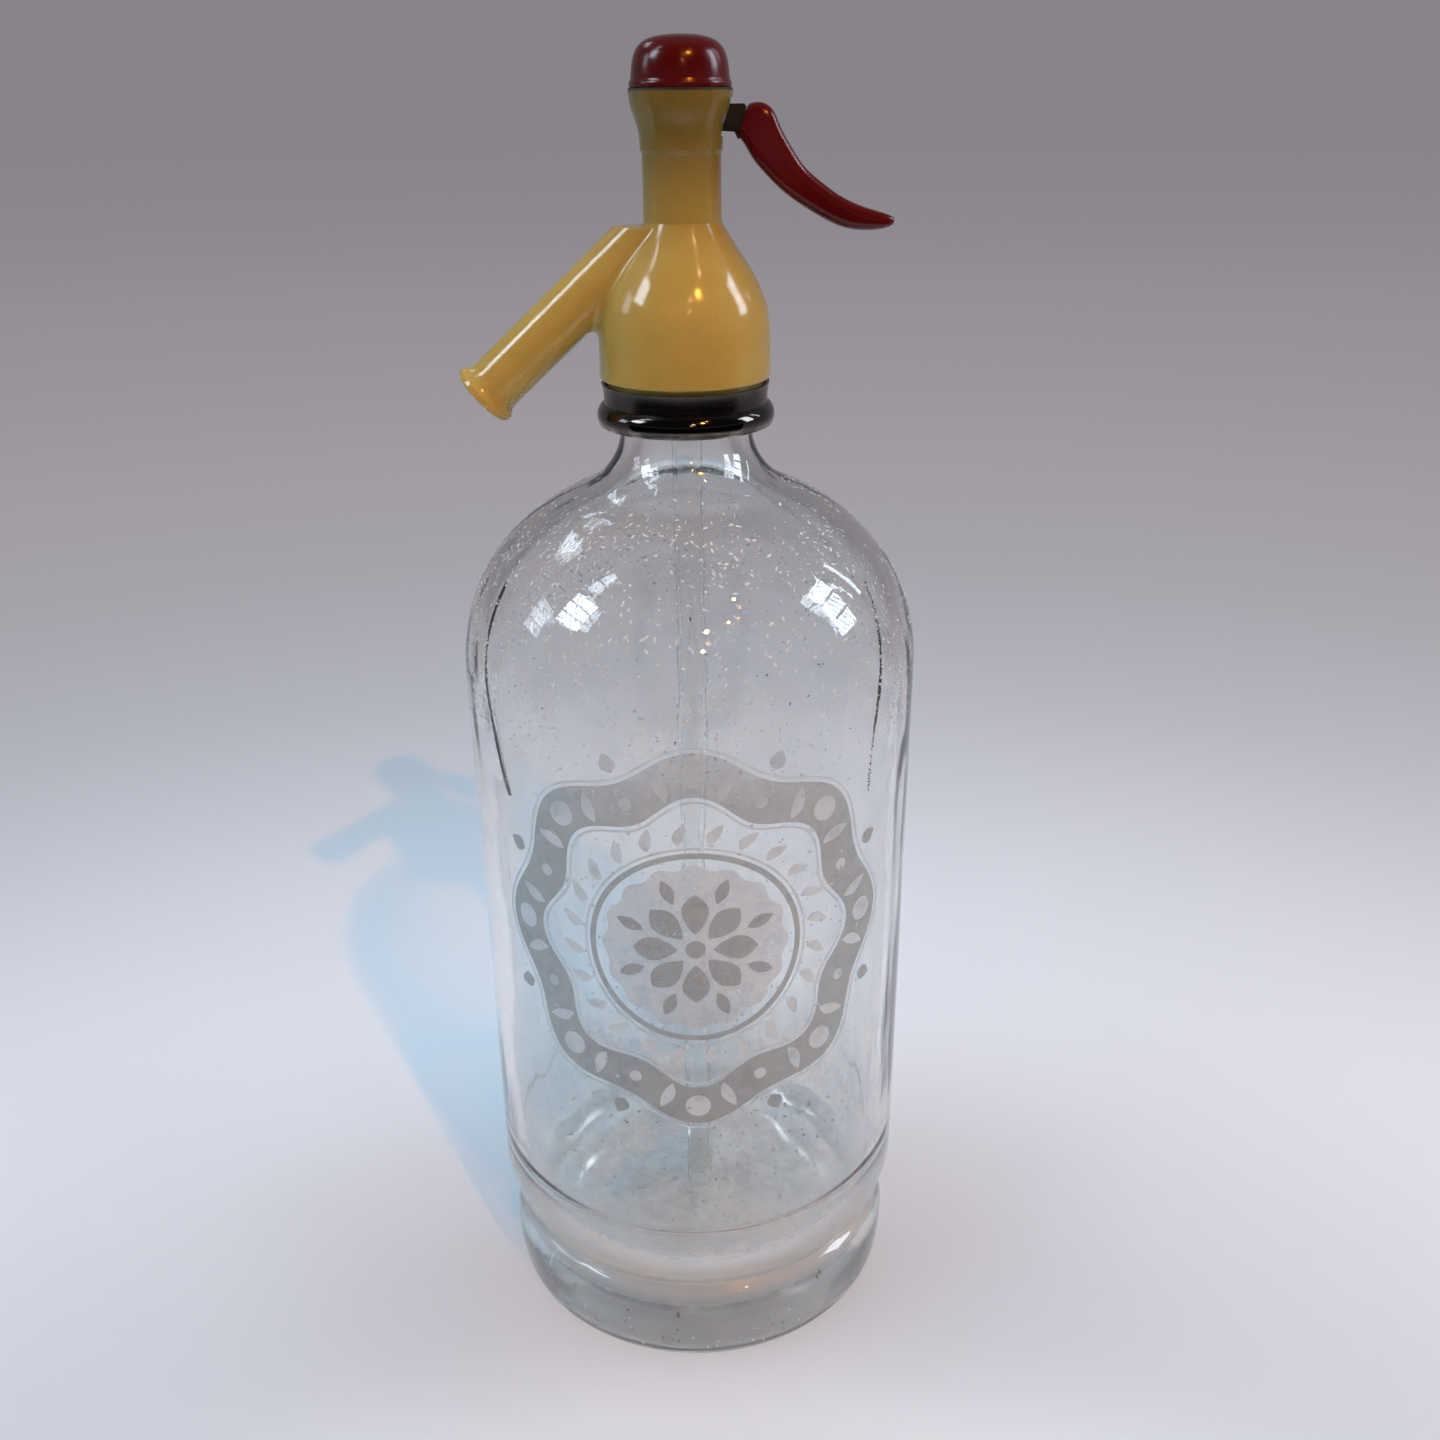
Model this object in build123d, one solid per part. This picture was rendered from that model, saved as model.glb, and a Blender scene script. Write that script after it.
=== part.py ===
from build123d import *
from math import acos, atan2, cos, degrees, radians, sin, sqrt
import os

# A glass soda siphon with a screwed-on plastic head, in millimetres.
# The origin is the centre of the foot where it rests, +Z is up, the spout
# points to -X, the lever to +X, and the bottle's decorated face looks to -Y.
# A radius is a radius of turning about +Z unless its name says otherwise.

# ---- Bottle: outside, from the foot up
body_radius = 54.0
foot_inset = 1.7              # the foot is this much slimmer than the body
foot_widest_z = 11.5
foot_edge_round = 1.9         # how far the foot's wall turns in at the bottom
foot_ring_width = 5.4
underside_hollow = 4.0        # depth of the hollow under the foot
groove_depth = 6.8            # from the body's wall in to the groove over the foot
groove_round = 0.8
heel_top_z = 36.1
heel_width = 13.7             # half axes of the elliptical heel
heel_height = 18.3
shoulder_z = 177.6
shoulder_round = 42.9         # radius of the shoulder's arc in profile
crown_rise = 3.73             # the dome between the shoulder and the neck, above that arc
neck_radius = 14.8
neck_sweep = 15.3             # radius of the curve that runs up into the neck

# ---- Bottle: wall and inside
glass_wall = 4.8
neck_bore = 9.7
floor_z = 10.5
floor_corner_width = 27.2     # half axes of the curve from wall to floor
floor_corner_height = 30.5
floor_push_up = 2.0           # the floor rises this much at its centre

# ---- Bottle: finish that the ring grips
bead_overhang = 1.4
bead_height = 4.0
bead_neck_round = 0.4
bead_low_round = 0.6
bead_top_round = 1.2
lip_inner_round = 0.8

# ---- Ring, split ring and washer at the neck
ring_gap = 0.4                # between the ring's mouth and the glass neck
ring_floor = 1.5
ring_height = 9.3
ring_bead_height = 5.0
ring_bead_widest = 2.6        # height of the rolled bead's widest line
ring_bead_proud = 1.65        # how far the rolled bead stands out of the cup
ring_foot_inset = 0.3         # the bead's foot, in from its widest line
ring_foot_round = 0.75
ring_wall = 0.75
ring_rim_flare = 0.45
split_ring_height = 1.6
split_ring_gap = 0.5          # round the neck, clear of the bead's fillet
split_ring_cut = 0.8          # width of the two saw cuts
neck_washer_height = 1.6
neck_washer_inset = 0.7       # its bore is this much wider than the glass's, each side

# ---- Head: bell, neck and flare
spigot_gap = 0.3              # round the glass bead, inside the spigot that the ring screws on
spigot_wall = 1.1
spigot_length = 4.4
thread_gap = 0.1
bell_overhang = 1.55          # how far the bell's edge stands out over the spigot
bell_edge_lift = 1.5          # the bell's edge stands this high over the sealing face
bell_edge_round = 0.8
bell_skirt = 8.3              # height of its nearly straight skirt
bell_skirt_taper = 0.12
bell_waist_inset = 1.35       # where the shoulder turns into the cone, in from the bell's edge
bell_waist_rise = 16.8
bell_height = 33.0
bell_cone_bulge = 0.45
head_neck_radius = 8.45
head_neck_taper = 0.05
head_neck_height = 13.3
flare_step = 0.35
flare_step_height = 1.1
flare_radius = 11.05
flare_height = 12.4
flare_swell = (5.2, 0.4)      # height over the step, and how far it has grown there
flare_shoulder = (8.9, 0.62)  # height over the step, and how far inside the rim it is
boss_radius = 8.0             # threaded boss inside the cap
boss_height = 5.6

# ---- Head: bores
chamber_radius = 5.0
chamber_height = 38.4         # from the valve body's top to the lever's room
lever_room_radius = 5.8
cross_passage_radius = 2.0

# ---- Spout
spout_slope = 42.2            # degrees below level
spout_radius = 6.2
spout_bore = 3.8
spout_mouth_x = -45.7         # centre of the mouth
spout_mouth_below_crease = 37.0
spout_lip_radius = 7.4
spout_lip_round = 0.75
spout_lip_width = 1.6
spout_lip_sweep = 3.2
spout_bore_end_x = -13.5
spout_top_below_crease = 0.9  # flat that cuts the spout's upper end
spout_fillet = 1.5            # where the spout runs into the bell
spout_mouth_round = 0.7

# ---- Valve body, tube and bush
body_flange_radius = 9.0
body_flange_height = 1.6
body_shank_radius = 6.95
body_shank_height = 10.0
nozzle_radius = 3.4
nozzle_height = 2.0
nozzle_bore = 2.5
nozzle_bore_depth = 3.1
passage_radius = 1.7
socket_radius = 4.9
socket_depth = 7.0
insert_gap = 0.05             # round the valve body, in the plastic
tube_radius = 3.4
tube_bore = 1.8
tube_flange_radius = 4.3
tube_flange_height = 1.3
tube_flange_round = 0.5
tube_end_gap = 0.4            # between the tube's flange and the socket's end
tube_foot_z = 15.0
bush_inset = 1.0

# ---- Spindle and what it carries
washer_radius = 3.9
washer_height = 2.0
washer_flange_height = 1.2
stem_radius = 1.6
piston_rise = 25.4            # from the washer's flange to the piston
piston_flange_radius = 4.2
piston_flange_height = 1.1
piston_groove_height = 2.8
piston_core_radius = 2.5
seal_gap = 0.1                # between the seal's lips and the chamber's wall
seal_chamfer = 0.4
seal_lip_height = 0.7
seal_waist = 0.45
fork_neck_radius = 1.2
fork_neck_rise = 1.6          # the neck starts this high over the chamber's top
screw_head_radius = 1.9
screw_head_height = 1.2
screw_slot_width = 0.6
screw_slot_depth = 0.5
screw_shank_radius = 0.9
screw_hole_depth = 4.2
screw_end_gap = 0.4
cup_radius = 4.7
cup_plate = 1.0
cup_hub_radius = 2.3
cup_hub_height = 1.6
nut_across_flats = 4.4
nut_height = 1.5
thread_end = 0.5

# ---- Return spring
spring_wire_radius = 0.45
spring_mean_radius = 3.9
spring_turns = 4.5

# ---- Cap
cap_washer_height = 0.5
cap_washer_inset = 0.15
cap_rim_radius = 10.75
cap_rim_height = 1.4
cap_rim_turn = 0.25           # how far the rim's outside curves in at its top and bottom
cap_rim_step = 0.35
cap_wall_radius = 10.35
cap_height = 10.1
cap_shoulder_radius = 9.2
cap_shoulder_height = 7.1
cap_top_thickness = 2.3
cap_thread_depth = 5.7
cap_thread_gap = 0.1

# ---- Lever
pin_radius = 1.0
pin_gap = 0.06
pin_inset = 1.75              # the pin's axis, in from the flare's wall
pin_below_flare = 5.2
flare_inset_at_pin = 1.1      # the flare is this much slimmer there than at its rim
pin_blind_wall = 0.9          # plastic left in front of the pin
pin_end_inset = 0.1
arm_width = 5.6
arm_half_height = 2.6
arm_top_reach = 5.0           # from the pin to the end of the arm's level top
arm_nose_radius = 1.5
arm_nose_gap = 0.15           # under the spring cup at rest
arm_taper_end = 2.6           # where the arm's taper meets the nose, from the spindle
fork_gap = 0.25               # round the spindle's neck, each side
fork_end = 2.4
tongue_width = 3.0
tongue_margin = 1.9           # grip material round the tongue
tongue_stations = 5           # how many of the grip's stations it reaches
slot_side_gap = 0.3
slot_top_gap = 1.2
slot_bottom_gap = 1.1
grip_edge_round = 2.1
grip_round_share = 0.45       # the edge round is at most this share of the section

# The arm's heel outside the flare, from its top down to its underside, as points from the pin.
arm_heel = [(5.4, 2.1), (4.5, -3.9), (3.7, -4.2), (3.0, -2.8)]

# The grip's side outline as pairs of points from the pin, below and above,
# with the width there: (x, z) below, (x, z) above, width.
grip_stations = [
    ((3.5, -3.4), (5.9, 2.4), 8.6),
    ((4.4, -4.4), (8.3, 2.85), 9.6),
    ((5.4, -5.8), (10.6, 1.7), 10.4),
    ((6.7, -7.9), (12.4, -1.6), 10.9),
    ((8.8, -10.4), (14.6, -5.4), 11.1),
    ((12.9, -14.3), (17.7, -9.7), 11.0),
    ((17.3, -17.4), (21.4, -12.8), 10.4),
    ((21.8, -20.0), (25.2, -15.4), 9.5),
    ((26.5, -22.0), (29.1, -17.3), 8.4),
    ((31.3, -22.6), (32.6, -18.5), 7.0),
    ((35.0, -22.3), (35.6, -19.4), 5.2),
    ((37.1, -21.5), (37.3, -20.2), 3.0),
]

# ---- Heights and places that follow from the sizes above
shoulder_centre_radius = body_radius - shoulder_round
crown_round = (shoulder_centre_radius**2 + crown_rise**2) / (2 * crown_rise) + shoulder_round
crown_centre_z = shoulder_z + shoulder_round + crown_rise - crown_round
neck_z = crown_centre_z + sqrt(
    (crown_round + neck_sweep) ** 2 - (neck_radius + neck_sweep) ** 2
)
split_ring_z = neck_z + ring_floor
bead_z = split_ring_z + split_ring_height
lip_z = bead_z + bead_height
bead_radius = neck_radius + bead_overhang
neck_washer_bore = neck_bore + neck_washer_inset
thread_radius = bead_radius + spigot_gap + spigot_wall
bell_radius = thread_radius + bell_overhang
bell_waist_radius = bell_radius - bell_waist_inset
sealing_z = lip_z + neck_washer_height
spigot_z = sealing_z - spigot_length
bell_z = sealing_z + bell_edge_lift
crease_z = bell_z + bell_height
step_z = crease_z + head_neck_height
flare_z = step_z + flare_height
boss_z = flare_z + boss_height
body_top_z = sealing_z + body_flange_height + body_shank_height
seat_z = body_top_z + nozzle_height
socket_top_z = sealing_z + socket_depth
tube_top_z = socket_top_z - tube_end_gap
chamber_top_z = body_top_z + chamber_height
flare_radius_at_pin = flare_radius - flare_inset_at_pin
pin_x = flare_radius_at_pin - pin_inset
pin_z = flare_z - pin_below_flare
cap_z = flare_z + cap_washer_height
cap_ceiling_z = cap_z + cap_height - cap_top_thickness
washer_flange_z = seat_z + washer_height
piston_z = washer_flange_z + washer_flange_height + piston_rise
piston_groove_z = piston_z + piston_flange_height
piston_groove_top_z = piston_groove_z + piston_groove_height
fork_neck_z = chamber_top_z + fork_neck_rise
arm_top_z = pin_z + arm_half_height
cup_z = arm_top_z + arm_nose_gap
cup_hub_z = cup_z + cup_plate
nut_z = cup_hub_z + cup_hub_height
spindle_top_z = nut_z + nut_height + thread_end
spout_axis = Vector(-cos(radians(spout_slope)), 0, -sin(radians(spout_slope)))
spout_mouth = Vector(spout_mouth_x, 0, crease_z - spout_mouth_below_crease)
spout_bore_length = (spout_bore_end_x - spout_mouth_x) / cos(radians(spout_slope))


def disc(radius, bottom, height):
    """A plain round solid on the axis."""
    return Pos(0, 0, bottom) * Cylinder(radius, height, align=(Align.CENTER, Align.CENTER, Align.MIN))


def tube(outer, inner, bottom, height):
    """A plain round ring or sleeve on the axis."""
    return disc(outer, bottom, height) - disc(inner, bottom, height)


def turned(*edges):
    """Turns a closed outline of (radius, height) about the axis."""
    return revolve(make_face(Plane.XZ * Wire(edges)), Axis.Z)


def glass_arcs(wall, bore):
    """Shoulder, crown and neck sweep of a skin that lies the given wall inside the glass."""
    shoulder_angle = degrees(atan2(shoulder_z - crown_centre_z, shoulder_centre_radius))
    skin_crown = crown_round - wall
    sweep = neck_sweep + (neck_radius - bore)
    reach = skin_crown + sweep
    sweep_centre = (bore + sweep, crown_centre_z + sqrt(reach**2 - (bore + sweep) ** 2))
    crown_end = degrees(atan2(sweep_centre[1] - crown_centre_z, sweep_centre[0]))
    shoulder = CenterArc((shoulder_centre_radius, shoulder_z), shoulder_round - wall, 0, shoulder_angle)
    crown = CenterArc((0, crown_centre_z), skin_crown, shoulder_angle, crown_end - shoulder_angle)
    neck = CenterArc(sweep_centre, sweep, 180 + crown_end, -crown_end)
    return shoulder, crown, neck, sweep_centre[1]


def foot_and_heel():
    """The bottle's outside from the hollow under the foot to its straight side, and the groove's corner."""
    foot_radius = body_radius - foot_inset
    groove_radius = body_radius - groove_depth
    heel_centre = body_radius - heel_width
    heel_angle = degrees(acos((groove_radius - heel_centre) / heel_width))
    groove_z = heel_top_z - heel_height * sin(radians(heel_angle))
    rise = groove_z - foot_widest_z
    step = foot_radius - groove_radius
    foot_round = (step**2 + rise**2) / (2 * step)
    foot_angle = degrees(atan2(rise, groove_radius - (foot_radius - foot_round)))
    rest_radius = foot_radius - foot_edge_round
    hollow_radius = rest_radius - foot_ring_width
    hollow_round = (hollow_radius**2 + underside_hollow**2) / (2 * underside_hollow)
    hollow_mid = sqrt(hollow_round**2 - (hollow_radius / 2) ** 2) - (hollow_round - underside_hollow)
    edges = [
        ThreePointArc((0, underside_hollow), (hollow_radius / 2, hollow_mid), (hollow_radius, 0)),
        Line((hollow_radius, 0), (rest_radius, 0)),
        EllipticalCenterArc((rest_radius, foot_widest_z), foot_edge_round, foot_widest_z, -90, arc_size=90),
        CenterArc((foot_radius - foot_round, foot_widest_z), foot_round, 0, foot_angle),
        EllipticalCenterArc(
            (heel_centre, heel_top_z), heel_width, heel_height, -heel_angle, arc_size=heel_angle
        ),
        Line((body_radius, heel_top_z), (body_radius, shoulder_z)),
    ]
    return edges, (groove_radius, groove_z)


def bottle():
    outside, groove = foot_and_heel()
    shoulder, crown, neck, _ = glass_arcs(0, neck_radius)
    inner_shoulder, inner_crown, inner_neck, inner_neck_z = glass_arcs(glass_wall, neck_bore)
    finish = FilletPolyline(
        (neck_radius, neck_z),
        (neck_radius, bead_z),
        (bead_radius, bead_z),
        (bead_radius, lip_z),
        (neck_bore, lip_z),
        (neck_bore, inner_neck_z),
        radius=[bead_neck_round, bead_low_round, bead_top_round, lip_inner_round],
    )
    inner_radius = body_radius - glass_wall
    corner_centre = (inner_radius - floor_corner_width, floor_z + floor_corner_height)
    inside = [
        inner_neck,
        inner_crown,
        inner_shoulder,
        Line((inner_radius, shoulder_z), (inner_radius, corner_centre[1])),
        EllipticalCenterArc(corner_centre, floor_corner_width, floor_corner_height, 0, arc_size=-90),
        Spline(
            (corner_centre[0], floor_z),
            (0, floor_z + floor_push_up),
            tangents=[(-1, 0), (-1, 0)],
        ),
        Line((0, floor_z + floor_push_up), (0, underside_hollow)),
    ]
    outline = make_face(Wire([*outside, shoulder, crown, neck, *finish.edges(), *inside]))
    groove_corner = outline.vertices().sort_by_distance(groove)[0]
    return revolve(Plane.XZ * fillet(groove_corner, groove_round), Axis.Z)


def collar():
    """A low cup whose foot is rolled out into a bead and in under the split ring."""
    cup_bore = thread_radius + thread_gap
    cup_outside = cup_bore + ring_wall
    mouth = neck_radius + ring_gap
    bead_top = neck_z + ring_bead_height
    rim_top = neck_z + ring_height
    bead_edge = cup_outside + ring_bead_proud
    foot = bead_edge - ring_foot_inset
    foot_top = neck_z + ring_foot_round
    return turned(
        Line((mouth, neck_z), (foot - ring_foot_round, neck_z)),
        CenterArc((foot - ring_foot_round, foot_top), ring_foot_round, -90, 90),
        ThreePointArc((foot, foot_top), (bead_edge, neck_z + ring_bead_widest), (cup_outside, bead_top)),
        Spline(
            (cup_outside, bead_top),
            (cup_outside + ring_rim_flare, rim_top),
            tangents=[(0, 1), (0.35, 1)],
        ),
        Line((cup_outside + ring_rim_flare, rim_top), (cup_bore + ring_rim_flare, rim_top)),
        Spline(
            (cup_bore + ring_rim_flare, rim_top),
            (cup_bore, bead_top),
            tangents=[(-0.35, -1), (0, -1)],
        ),
        Line((cup_bore, bead_top), (cup_bore, split_ring_z)),
        Line((cup_bore, split_ring_z), (mouth, split_ring_z)),
        Line((mouth, split_ring_z), (mouth, neck_z)),
    )


def split_ring_halves():
    """Two half rings, parted front from back, that bear on the underside of the glass bead."""
    whole = tube(thread_radius, neck_radius + split_ring_gap, split_ring_z, split_ring_height)
    size = 4 * thread_radius
    front_space = Pos(0, -split_ring_cut / 2, split_ring_z) * Box(
        size, size, size, align=(Align.CENTER, Align.MAX, Align.CENTER)
    )
    back_space = Pos(0, split_ring_cut / 2, split_ring_z) * Box(
        size, size, size, align=(Align.CENTER, Align.MIN, Align.CENTER)
    )
    return whole & front_space, whole & back_space


def neck_washer():
    return tube(bead_radius, neck_washer_bore, lip_z, neck_washer_height)


def head_shell():
    """Outside of the bell, neck and flare, still solid inside."""
    bell_low = bell_z + bell_edge_round
    skirt_top = bell_z + bell_skirt
    skirt_top_radius = bell_radius - bell_skirt_taper
    waist_z = bell_z + bell_waist_rise
    cone_mid = ((bell_waist_radius + head_neck_radius) / 2 + bell_cone_bulge, (waist_z + crease_z) / 2)
    neck_top_radius = head_neck_radius - head_neck_taper
    flare_foot_radius = head_neck_radius + flare_step
    flare_foot_z = step_z + flare_step_height
    return turned(
        Line((0, spigot_z), (thread_radius, spigot_z)),
        Line((thread_radius, spigot_z), (thread_radius, bell_z)),
        Line((thread_radius, bell_z), (bell_radius - bell_edge_round, bell_z)),
        CenterArc((bell_radius - bell_edge_round, bell_low), bell_edge_round, -90, 90),
        Line((bell_radius, bell_low), (skirt_top_radius, skirt_top)),
        Spline(
            (skirt_top_radius, skirt_top),
            (bell_waist_radius, waist_z),
            cone_mid,
            (head_neck_radius, crease_z),
            tangents=[(-0.02, 1), (-0.47, 0.88)],
        ),
        Line((head_neck_radius, crease_z), (neck_top_radius, step_z)),
        Line((neck_top_radius, step_z), (flare_foot_radius, flare_foot_z)),
        Spline(
            (flare_foot_radius, flare_foot_z),
            (flare_foot_radius + flare_swell[1], step_z + flare_swell[0]),
            (flare_radius - flare_shoulder[1], step_z + flare_shoulder[0]),
            (flare_radius, flare_z),
            tangents=[(0, 1), (0.12, 1)],
        ),
        Line((flare_radius, flare_z), (boss_radius, flare_z)),
        Line((boss_radius, flare_z), (boss_radius, boss_z)),
        Line((boss_radius, boss_z), (0, boss_z)),
        Line((0, boss_z), (0, spigot_z)),
    )


def round_bore(frame, radius, length):
    return frame.location * Cylinder(radius, length, align=(Align.CENTER, Align.CENTER, Align.MIN))


def spout_frame():
    """The plane of the spout's mouth, looking up the spout."""
    return Plane(origin=spout_mouth, x_dir=(0, 1, 0), z_dir=-spout_axis)


def spout_blank():
    """The sloping tube with its rolled lip, cut level at its upper end."""
    length = -spout_mouth_x / cos(radians(spout_slope))
    sweep_end = spout_lip_width + spout_lip_sweep
    pipe = turned(
        Line((0, 0), (spout_lip_radius - spout_lip_round, 0)),
        CenterArc((spout_lip_radius - spout_lip_round, spout_lip_round), spout_lip_round, -90, 90),
        Line((spout_lip_radius, spout_lip_round), (spout_lip_radius, spout_lip_width)),
        Spline(
            (spout_lip_radius, spout_lip_width),
            (spout_radius, sweep_end),
            tangents=[(-0.7, 0.7), (0, 1)],
        ),
        Line((spout_radius, sweep_end), (spout_radius, length)),
        Line((spout_radius, length), (0, length)),
        Line((0, length), (0, 0)),
    )
    size = 4 * length
    above = Pos(0, 0, crease_z - spout_top_below_crease) * Box(
        size, size, size, align=(Align.CENTER, Align.CENTER, Align.MIN)
    )
    return spout_frame().location * pipe - above


def head_bores():
    """Everything that is hollow in the head, from the foot up."""
    bores = disc(thread_radius - spigot_wall, spigot_z, spigot_length)
    bores += disc(body_flange_radius + insert_gap, sealing_z, body_flange_height)
    bores += disc(body_shank_radius + insert_gap, sealing_z, body_top_z - sealing_z)
    bores += disc(chamber_radius, body_top_z, chamber_height)
    bores += disc(lever_room_radius, chamber_top_z, boss_z - chamber_top_z)
    bores += round_bore(spout_frame(), spout_bore, spout_bore_length)
    bore_end = spout_mouth - spout_axis * spout_bore_length
    passage = Plane(origin=(0, 0, bore_end.Z), z_dir=(-1, 0, 0))
    return bores + round_bore(passage, cross_passage_radius, -spout_bore_end_x)


def lever_slot():
    """The upright slot through the flare's wall that the arm works in."""
    low = pin_z - arm_half_height - slot_bottom_gap
    high = arm_top_z + slot_top_gap
    return Pos(0, 0, low) * Box(
        2 * flare_radius, arm_width + 2 * slot_side_gap, high - low,
        align=(Align.MIN, Align.CENTER, Align.MIN),
    )


def pin_rod(radius):
    """A round rod along the lever's axis, blind in front and flush at the back of the flare."""
    half_chord = sqrt(flare_radius_at_pin**2 - pin_x**2)
    front = pin_blind_wall - half_chord
    back = half_chord - pin_end_inset
    frame = Plane(origin=(pin_x, front, pin_z), z_dir=(0, 1, 0))
    return round_bore(frame, radius, back - front)


def head():
    whole = head_shell() + spout_blank()
    seam = whole.edges().filter_by(GeomType.BSPLINE).sort_by(SortBy.LENGTH)[-1]
    bored = fillet(seam, spout_fillet) - head_bores()
    circles = bored.edges().filter_by(GeomType.CIRCLE).sort_by_distance(spout_mouth)
    mouth = [edge for edge in circles if abs(edge.radius - spout_bore) < insert_gap][0]
    return fillet(mouth, spout_mouth_round) - lever_slot() - pin_rod(pin_radius)


def valve_body():
    """Brass insert: flange, threaded shank, and the nozzle whose rim is the valve seat."""
    body = disc(body_flange_radius, sealing_z, body_flange_height)
    body += disc(body_shank_radius, sealing_z, body_top_z - sealing_z)
    body += disc(nozzle_radius, body_top_z, nozzle_height)
    body -= disc(socket_radius, sealing_z, socket_depth)
    body -= disc(passage_radius, socket_top_z, seat_z - socket_top_z)
    return body - disc(nozzle_bore, seat_z - nozzle_bore_depth, nozzle_bore_depth)


def dip_tube():
    pipe = disc(tube_radius, tube_foot_z, tube_top_z - tube_foot_z)
    pipe += disc(tube_flange_radius, tube_top_z - tube_flange_height, tube_flange_height)
    pipe = fillet(pipe.edges().filter_by(GeomType.CIRCLE).group_by(Axis.Z)[-1], tube_flange_round)
    return pipe - disc(tube_bore, tube_foot_z, tube_top_z - tube_foot_z)


def tube_bush():
    low = sealing_z + bush_inset
    high = tube_top_z - tube_flange_height
    return tube(socket_radius, tube_radius, low, high - low)


def spindle():
    rod = disc(washer_radius, washer_flange_z, washer_flange_height)
    rod += disc(stem_radius, washer_flange_z, fork_neck_z - washer_flange_z)
    rod += disc(piston_core_radius, piston_z, piston_groove_top_z - piston_z)
    rod += disc(piston_flange_radius, piston_z, piston_flange_height)
    rod += disc(piston_flange_radius, piston_groove_top_z, piston_flange_height)
    rod += disc(fork_neck_radius, fork_neck_z, spindle_top_z - fork_neck_z)
    return rod - disc(screw_shank_radius, washer_flange_z, screw_hole_depth)


def valve_washer():
    return tube(washer_radius, screw_shank_radius, seat_z, washer_height)


def washer_screw():
    head_z = seat_z - screw_head_height
    shank_top = washer_flange_z + screw_hole_depth - screw_end_gap
    driver_slot = Pos(0, 0, head_z) * Box(2 * screw_head_radius, screw_slot_width, 2 * screw_slot_depth)
    screw = disc(screw_head_radius, head_z, screw_head_height)
    screw += disc(screw_shank_radius, head_z, shank_top - head_z)
    return screw - driver_slot


def piston_seal():
    """A ring with a waist between two lips that wipe the chamber's wall."""
    lip = chamber_radius - seal_gap
    low = piston_groove_z
    high = piston_groove_top_z
    return turned(
        Line((piston_core_radius, low), (lip - seal_chamfer, low)),
        Line((lip - seal_chamfer, low), (lip, low + seal_lip_height)),
        ThreePointArc(
            (lip, low + seal_lip_height), (lip - seal_waist, (low + high) / 2), (lip, high - seal_lip_height)
        ),
        Line((lip, high - seal_lip_height), (lip - seal_chamfer, high)),
        Line((lip - seal_chamfer, high), (piston_core_radius, high)),
        Line((piston_core_radius, high), (piston_core_radius, low)),
    )


def spring_cup():
    plate = tube(cup_radius, fork_neck_radius, cup_z, cup_plate)
    hub = tube(cup_hub_radius, fork_neck_radius, cup_z, cup_plate + cup_hub_height)
    return plate + hub


def spindle_nut():
    hexagon = RegularPolygon(nut_across_flats / 2, 6, major_radius=False)
    return Pos(0, 0, nut_z) * extrude(hexagon, nut_height) - disc(fork_neck_radius, nut_z, nut_height)


def return_spring():
    height = cap_ceiling_z - cup_hub_z - 2 * spring_wire_radius
    coil = Pos(0, 0, cup_hub_z + spring_wire_radius) * Helix(
        height / spring_turns, height, spring_mean_radius
    )
    wire = Plane(origin=coil @ 0, z_dir=coil % 0) * Circle(spring_wire_radius)
    return sweep(wire, coil, is_frenet=True)


def cap():
    rim_top = cap_z + cap_rim_height
    step_top = rim_top + cap_rim_step
    top = cap_z + cap_height
    thread_bore = boss_radius + cap_thread_gap
    thread_top = cap_z + cap_thread_depth
    rim_end = cap_rim_radius - cap_rim_turn
    return turned(
        Line((thread_bore, cap_z), (rim_end, cap_z)),
        ThreePointArc((rim_end, cap_z), (cap_rim_radius, (cap_z + rim_top) / 2), (rim_end, rim_top)),
        Line((rim_end, rim_top), (cap_wall_radius, step_top)),
        Spline(
            (cap_wall_radius, step_top),
            (cap_shoulder_radius, cap_z + cap_shoulder_height),
            (0, top),
            tangents=[(-0.08, 1), (-1, 0)],
        ),
        Line((0, top), (0, cap_ceiling_z)),
        Line((0, cap_ceiling_z), (lever_room_radius, cap_ceiling_z)),
        Line((lever_room_radius, cap_ceiling_z), (lever_room_radius, thread_top)),
        Line((lever_room_radius, thread_top), (thread_bore, thread_top)),
        Line((thread_bore, thread_top), (thread_bore, cap_z)),
    )


def cap_washer():
    return tube(flare_radius - cap_washer_inset, boss_radius, flare_z, cap_washer_height)


def grip_section(station, shrink=0.0, width=None):
    """One rounded section of the grip, square to its side outline."""
    (low_x, low_z), (high_x, high_z), station_width = station
    centre = Vector((low_x + high_x) / 2 + pin_x, 0, (low_z + high_z) / 2 + pin_z)
    upward = Vector(high_x - low_x, 0, high_z - low_z)
    frame = Plane(origin=centre, x_dir=(0, 1, 0), z_dir=Vector(0, 1, 0).cross(upward))
    wide = width or station_width
    tall = upward.length - 2 * shrink
    corner = min(grip_edge_round, grip_round_share * min(wide, tall))
    return frame * RectangleRounded(wide, tall, corner)


def lever_tongue():
    """The part of the arm that the grip is moulded on."""
    stations = grip_stations[:tongue_stations]
    return loft([grip_section(station, tongue_margin, tongue_width) for station in stations])


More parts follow.
